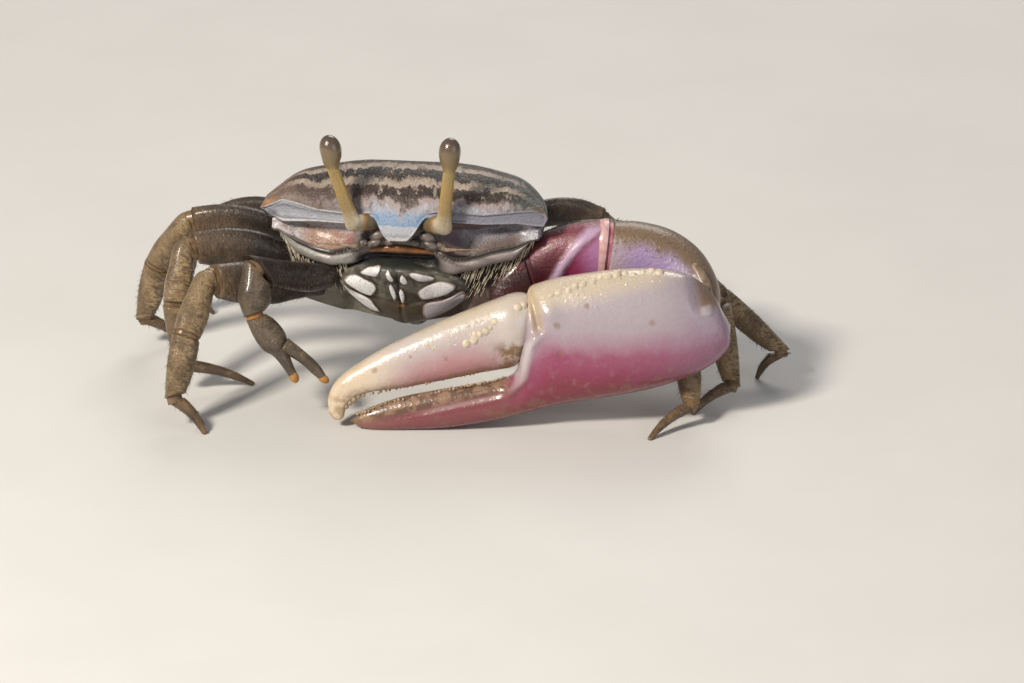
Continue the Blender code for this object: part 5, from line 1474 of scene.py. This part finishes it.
# Walking legs
def make_leg(side_name, facts, thorax_tree, paints):
    """One walking leg: four joints and the skin between them. Returns the rings of each joint."""
    name = "leg_" + side_name
    aim, knee, wrist, ankle, tip = (Vector(place) for place in facts[:5])
    girth, arch = facts[5:]
    hit, _ = cast(thorax_tree, knee, aim - knee)
    outward = (knee - hit).normalized()
    root = hit + outward * 1.3
    facing = leg_facing(root, knee, tip)
    bend = root.lerp(knee, 0.3) + UP * arch
    out = (knee - bend).normalized()
    knee_cut = (out * 1.6 + (wrist - knee).normalized() * 0.4).normalized()
    wrist_cut, ankle_cut = mitre(knee, wrist, ankle), mitre(wrist, ankle, tip)

    def joint(part, material, path, form, slot="leg", **shape):
        label = "%s_%s" % (name, part)
        return limb(label + "_shell", paints[material], slot, [label], path, form, facing, girth=girth,
                    **shape)

    rings = {}
    path = bezier(hit - outward * 1.2, root, bend, beside(knee, knee_cut, out, -1),
                  (0.0, 0.2, 0.38, 0.55, 0.72, 0.87, 1.0))
    rings["merus"] = joint("merus", "merus", path, MERUS_FORM, end_cut=knee_cut, crest=0.05)

    reach = knee + out * KNEE_REACH * girth
    end = beside(wrist, wrist_cut, (wrist - reach).normalized(), -1)
    path = [beside(knee, knee_cut, out, 1), reach, reach.lerp(end, 0.38), reach.lerp(end, 0.7), end]
    rings["carpus"] = joint("carpus", "leg", path, CARPUS_FORM, start_cut=knee_cut, end_cut=wrist_cut)

    along = (ankle - wrist).normalized()
    path = straight_path(beside(wrist, wrist_cut, along, 1), beside(ankle, ankle_cut, along, -1), 4)
    rings["propodus"] = joint("propodus", "leg", path, PROPODUS_FORM, start_cut=wrist_cut, end_cut=ankle_cut)

    along = (tip - ankle).normalized()
    bow = facing.cross(along).normalized() * 0.28
    bow = -bow if bow.z < 0 else bow
    end = tip + UP * DACTYL_FORM[-1][1] * girth * 0.6
    path = straight_path(beside(ankle, ankle_cut, along, 1), end, 5, bow)
    rings["dactyl"] = joint("dactyl", "tip", path, DACTYL_FORM, "leg_tip", start_cut=ankle_cut,
                            end_dome=0.12, columns=28)

    for label, at, cut, size in (("knee", knee, knee_cut, (0.86, 0.6)),
                                 ("wrist", wrist, wrist_cut, (0.84, 0.62)),
                                 ("ankle", ankle, ankle_cut, (0.5, 0.4))):
        joint_skin("%s_%s_skin" % (name, label), paints["skin"], "leg", at, cut, size, facing, girth=girth,
                   columns=24)
    return rings


# Hair
LEG_HAIR = {  # (height on the section, count, length, radius, lean, from, to)
    "merus": [(0.95, 70, 0.34, 0.02, 0.9, 0.2, 0.98), (-0.95, 40, 0.34, 0.02, 0.8, 0.3, 0.95)],
    "carpus": [(0.8, 60, 0.26, 0.018, 1.2, 0.05, 0.95)],
    "propodus": [(0.8, 60, 0.28, 0.018, 1.2, 0.05, 0.95), (-0.9, 40, 0.34, 0.018, 1.0, 0.1, 0.95)],
    "dactyl": [(0.7, 30, 0.3, 0.016, 1.3, 0.05, 0.8), (-0.8, 30, 0.3, 0.016, 1.3, 0.05, 0.8)],
}
SHAGGY_HAIR = [(up_at, 90, 0.75, 0.024, 0.6, 0.35, 0.98) for up_at in (0.9, 0.3, -0.4)]


def leg_bristles(coat, rng, number, part, rings, rows):
    """Hair along the edges of a limb's joint. number and part say which joint it is on the bake map."""
    grid, places = rings
    place = places["place"]
    centres = grid.mean(1)
    for up_at, count, length, radius, lean, start, end in rows:
        for _ in range(count):
            share = rng.uniform(start, end)
            row = int(np.argmin(np.abs(place[:, 0, 0] - share)))
            row = min(max(row, 1), len(grid) - 2)
            wanted = up_at + rng.gauss(0.0, 0.12)
            penalty = rng.choice((0.0, 1.0)) * (place[row, :, 1] < 0)
            column = int(np.argmin(np.abs(place[row, :, 2] - wanted) + penalty))
            root = Vector(grid[row, column])
            outward = (root - Vector(centres[row])).normalized()
            along = Vector(centres[row + 1] - centres[row - 1]).normalized()
            map_at = (0.01 + 0.11 * number + 0.1 * share, 0.02 + 0.24 * part + 0.2 * column / grid.shape[1])
            coat.add(root - outward * 0.03, outward + along * lean, along * 0.3 - UP * 0.25,
                     length * rng.uniform(0.6, 1.2), radius, map_at, rng.random())


def face_bristles(material):
    """Cream bristles on the dark hollows under both eye sockets."""
    rng = random.Random(11)
    for side_name, side in (("right", -1), ("left", 1)):
        coat = Bristles("face_bristles_" + side_name, material, "body")
        placed = []
        while len(placed) < 95:
            x = side * rng.uniform(4.4, 10.0)
            share = rng.uniform(0.515, 0.595)
            if any((x - px) ** 2 + ((share - ps) * 24.0) ** 2 < 0.045 for px, ps in placed):
                continue
            placed.append((x, share))
            line = thorax_stations(x)
            row = int(share * (len(line) - 1))
            step = Vector(line[row + 1] - line[row - 1])
            outward = Vector((0.0, step.z, -step.y)).normalized()
            outward = outward if outward.y < 0 else -outward
            direction = body_turn() @ (outward * 0.9 + Vector((-side * 0.35, -0.15, -0.7)))
            root = body_to_floor(Vector(line[row]) - outward * 0.05)
            map_at = (0.475 + 0.425 * x / THORAX_END_X, 0.05 + 0.9 * row / len(line))
            for _ in range(rng.choice((1, 2))):
                fan = Vector([rng.uniform(-0.16, 0.16) for _ in range(3)])
                coat.add(root + fan * 0.3, direction + fan, Vector((-side * 0.2, -0.2, -0.25)),
                         rng.uniform(0.5, 0.8), 0.042, map_at, rng.random() * 0.4)
        coat.finish()


# Studio
CAMERA_ELEVATION = 22.0
CAMERA_AT = Vector((8.328, -473.60, 193.42))
CAMERA_DISTANCE = 500.0
MM_PER_PIXEL = 0.0764
PHOTO_WIDTH = 1024
SENSOR = 36.0
FLOOR_HALF = 1.5  # metres
LIGHT_AIM = Vector((0.0, 0.0, 0.009))  # metres


def make_stage():
    """Pale floor and soft studio light."""
    paint = Paint("pale_floor", roughness=0.75)
    grain = paint.noise(14.0, 3.0)
    mesh = bpy.data.meshes.new("floor")
    corners = [(FLOOR_HALF * x, FLOOR_HALF * y, 0) for x, y in ((-1, -1), (1, -1), (1, 1), (-1, 1))]
    mesh.from_pydata(corners, [], [(0, 1, 2, 3)])
    tone = paint.mix(grain.step(0.3, 0.7), (0.66, 0.645, 0.62), (0.68, 0.665, 0.64))
    mesh.materials.append(paint.finish(tone))
    floor = bpy.data.objects.new("floor", mesh)
    bpy.context.scene.collection.objects.link(floor)

    sky = bpy.data.worlds.new("studio")
    sky.use_nodes = True
    background = sky.node_tree.nodes["Background"]
    background.inputs["Color"].default_value = (0.92, 0.94, 1.0, 1.0)
    background.inputs["Strength"].default_value = 0.24
    bpy.context.scene.world = sky
    add_light("key", (-0.19, -0.20, 0.24), 0.06, 1.45, (1.0, 0.93, 0.82))
    add_light("fill", (0.26, -0.26, 0.12), 0.22, 0.22, (0.93, 0.95, 1.0))
    add_light("back", (0.05, 0.25, 0.22), 0.16, 0.35, (1.0, 0.96, 0.9))


def add_light(name, place, size, power, colour):
    data = bpy.data.lights.new(name, "AREA")
    data.size, data.energy, data.color = size, power, colour
    light = bpy.data.objects.new(name, data)
    light.location = place
    light.rotation_euler = (LIGHT_AIM - Vector(place)).to_track_quat("-Z", "Y").to_euler()
    bpy.context.scene.collection.objects.link(light)


def make_camera():
    """A camera at the photograph's angle, with the crab as large in the frame as there."""
    data = bpy.data.cameras.new("camera")
    data.sensor_width = SENSOR
    data.lens = CAMERA_DISTANCE / (MM_PER_PIXEL * PHOTO_WIDTH) * SENSOR
    data.clip_start = 0.01
    camera = bpy.data.objects.new("camera", data)
    camera.location = (CAMERA_AT + ORIGIN_SHIFT) * MM
    camera.rotation_euler = (math.radians(90.0 - CAMERA_ELEVATION), 0.0, 0.0)
    bpy.context.scene.collection.objects.link(camera)
    bpy.context.scene.camera = camera


def make_limbs(thorax_tree, paints):
    """Both claws and the walking legs, with their hair."""
    make_great_claw()
    make_great_arm(thorax_tree, paints)
    feeding_merus = make_minor_claw(thorax_tree, paints)
    rng = random.Random(5)
    hair = bristle_material("leg_hair", (0.03, 0.019, 0.012), (0.12, 0.08, 0.045))
    coat = Bristles("leg_hair", hair, "leg")
    for number, (side_name, facts) in enumerate(LEGS.items()):
        joints = make_leg(side_name, facts, thorax_tree, paints)
        for part, (label, rings) in enumerate(joints.items()):
            leg_bristles(coat, rng, number, part, rings, LEG_HAIR[label])
    leg_bristles(coat, rng, len(LEGS), 0, feeding_merus, SHAGGY_HAIR)
    coat.finish()


def main():
    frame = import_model()
    bpy.context.scene.view_settings.view_transform = "Standard"
    thorax_tree = surface_tree(frame["nodes"]["thorax"])
    make_carapace(carapace_material())
    body = make_thorax(thorax_material())
    make_mouth(surface_tree(body), tissue_material(), plate_material(), rust_material())
    make_face_knobs(membrane_material("face_skin", (0.15, 0.12, 0.105), (0.05, 0.038, 0.034)))
    make_abdomen(thorax_tree, membrane_material("belly_shell", (0.22, 0.18, 0.14), (0.12, 0.095, 0.07)))
    paints = limb_paints()
    stalk_paint, eye_paint = stalk_material(), eye_material()
    for side_name in ("right", "left"):
        make_eye(side_name, stalk_paint, eye_paint)
        make_antenna(side_name, paints["rim"])
    make_limbs(thorax_tree, paints)
    face_bristles(bristle_material("face_bristles", (0.52, 0.42, 0.29), (0.93, 0.84, 0.65)))
    make_stage()
    make_camera()


main()
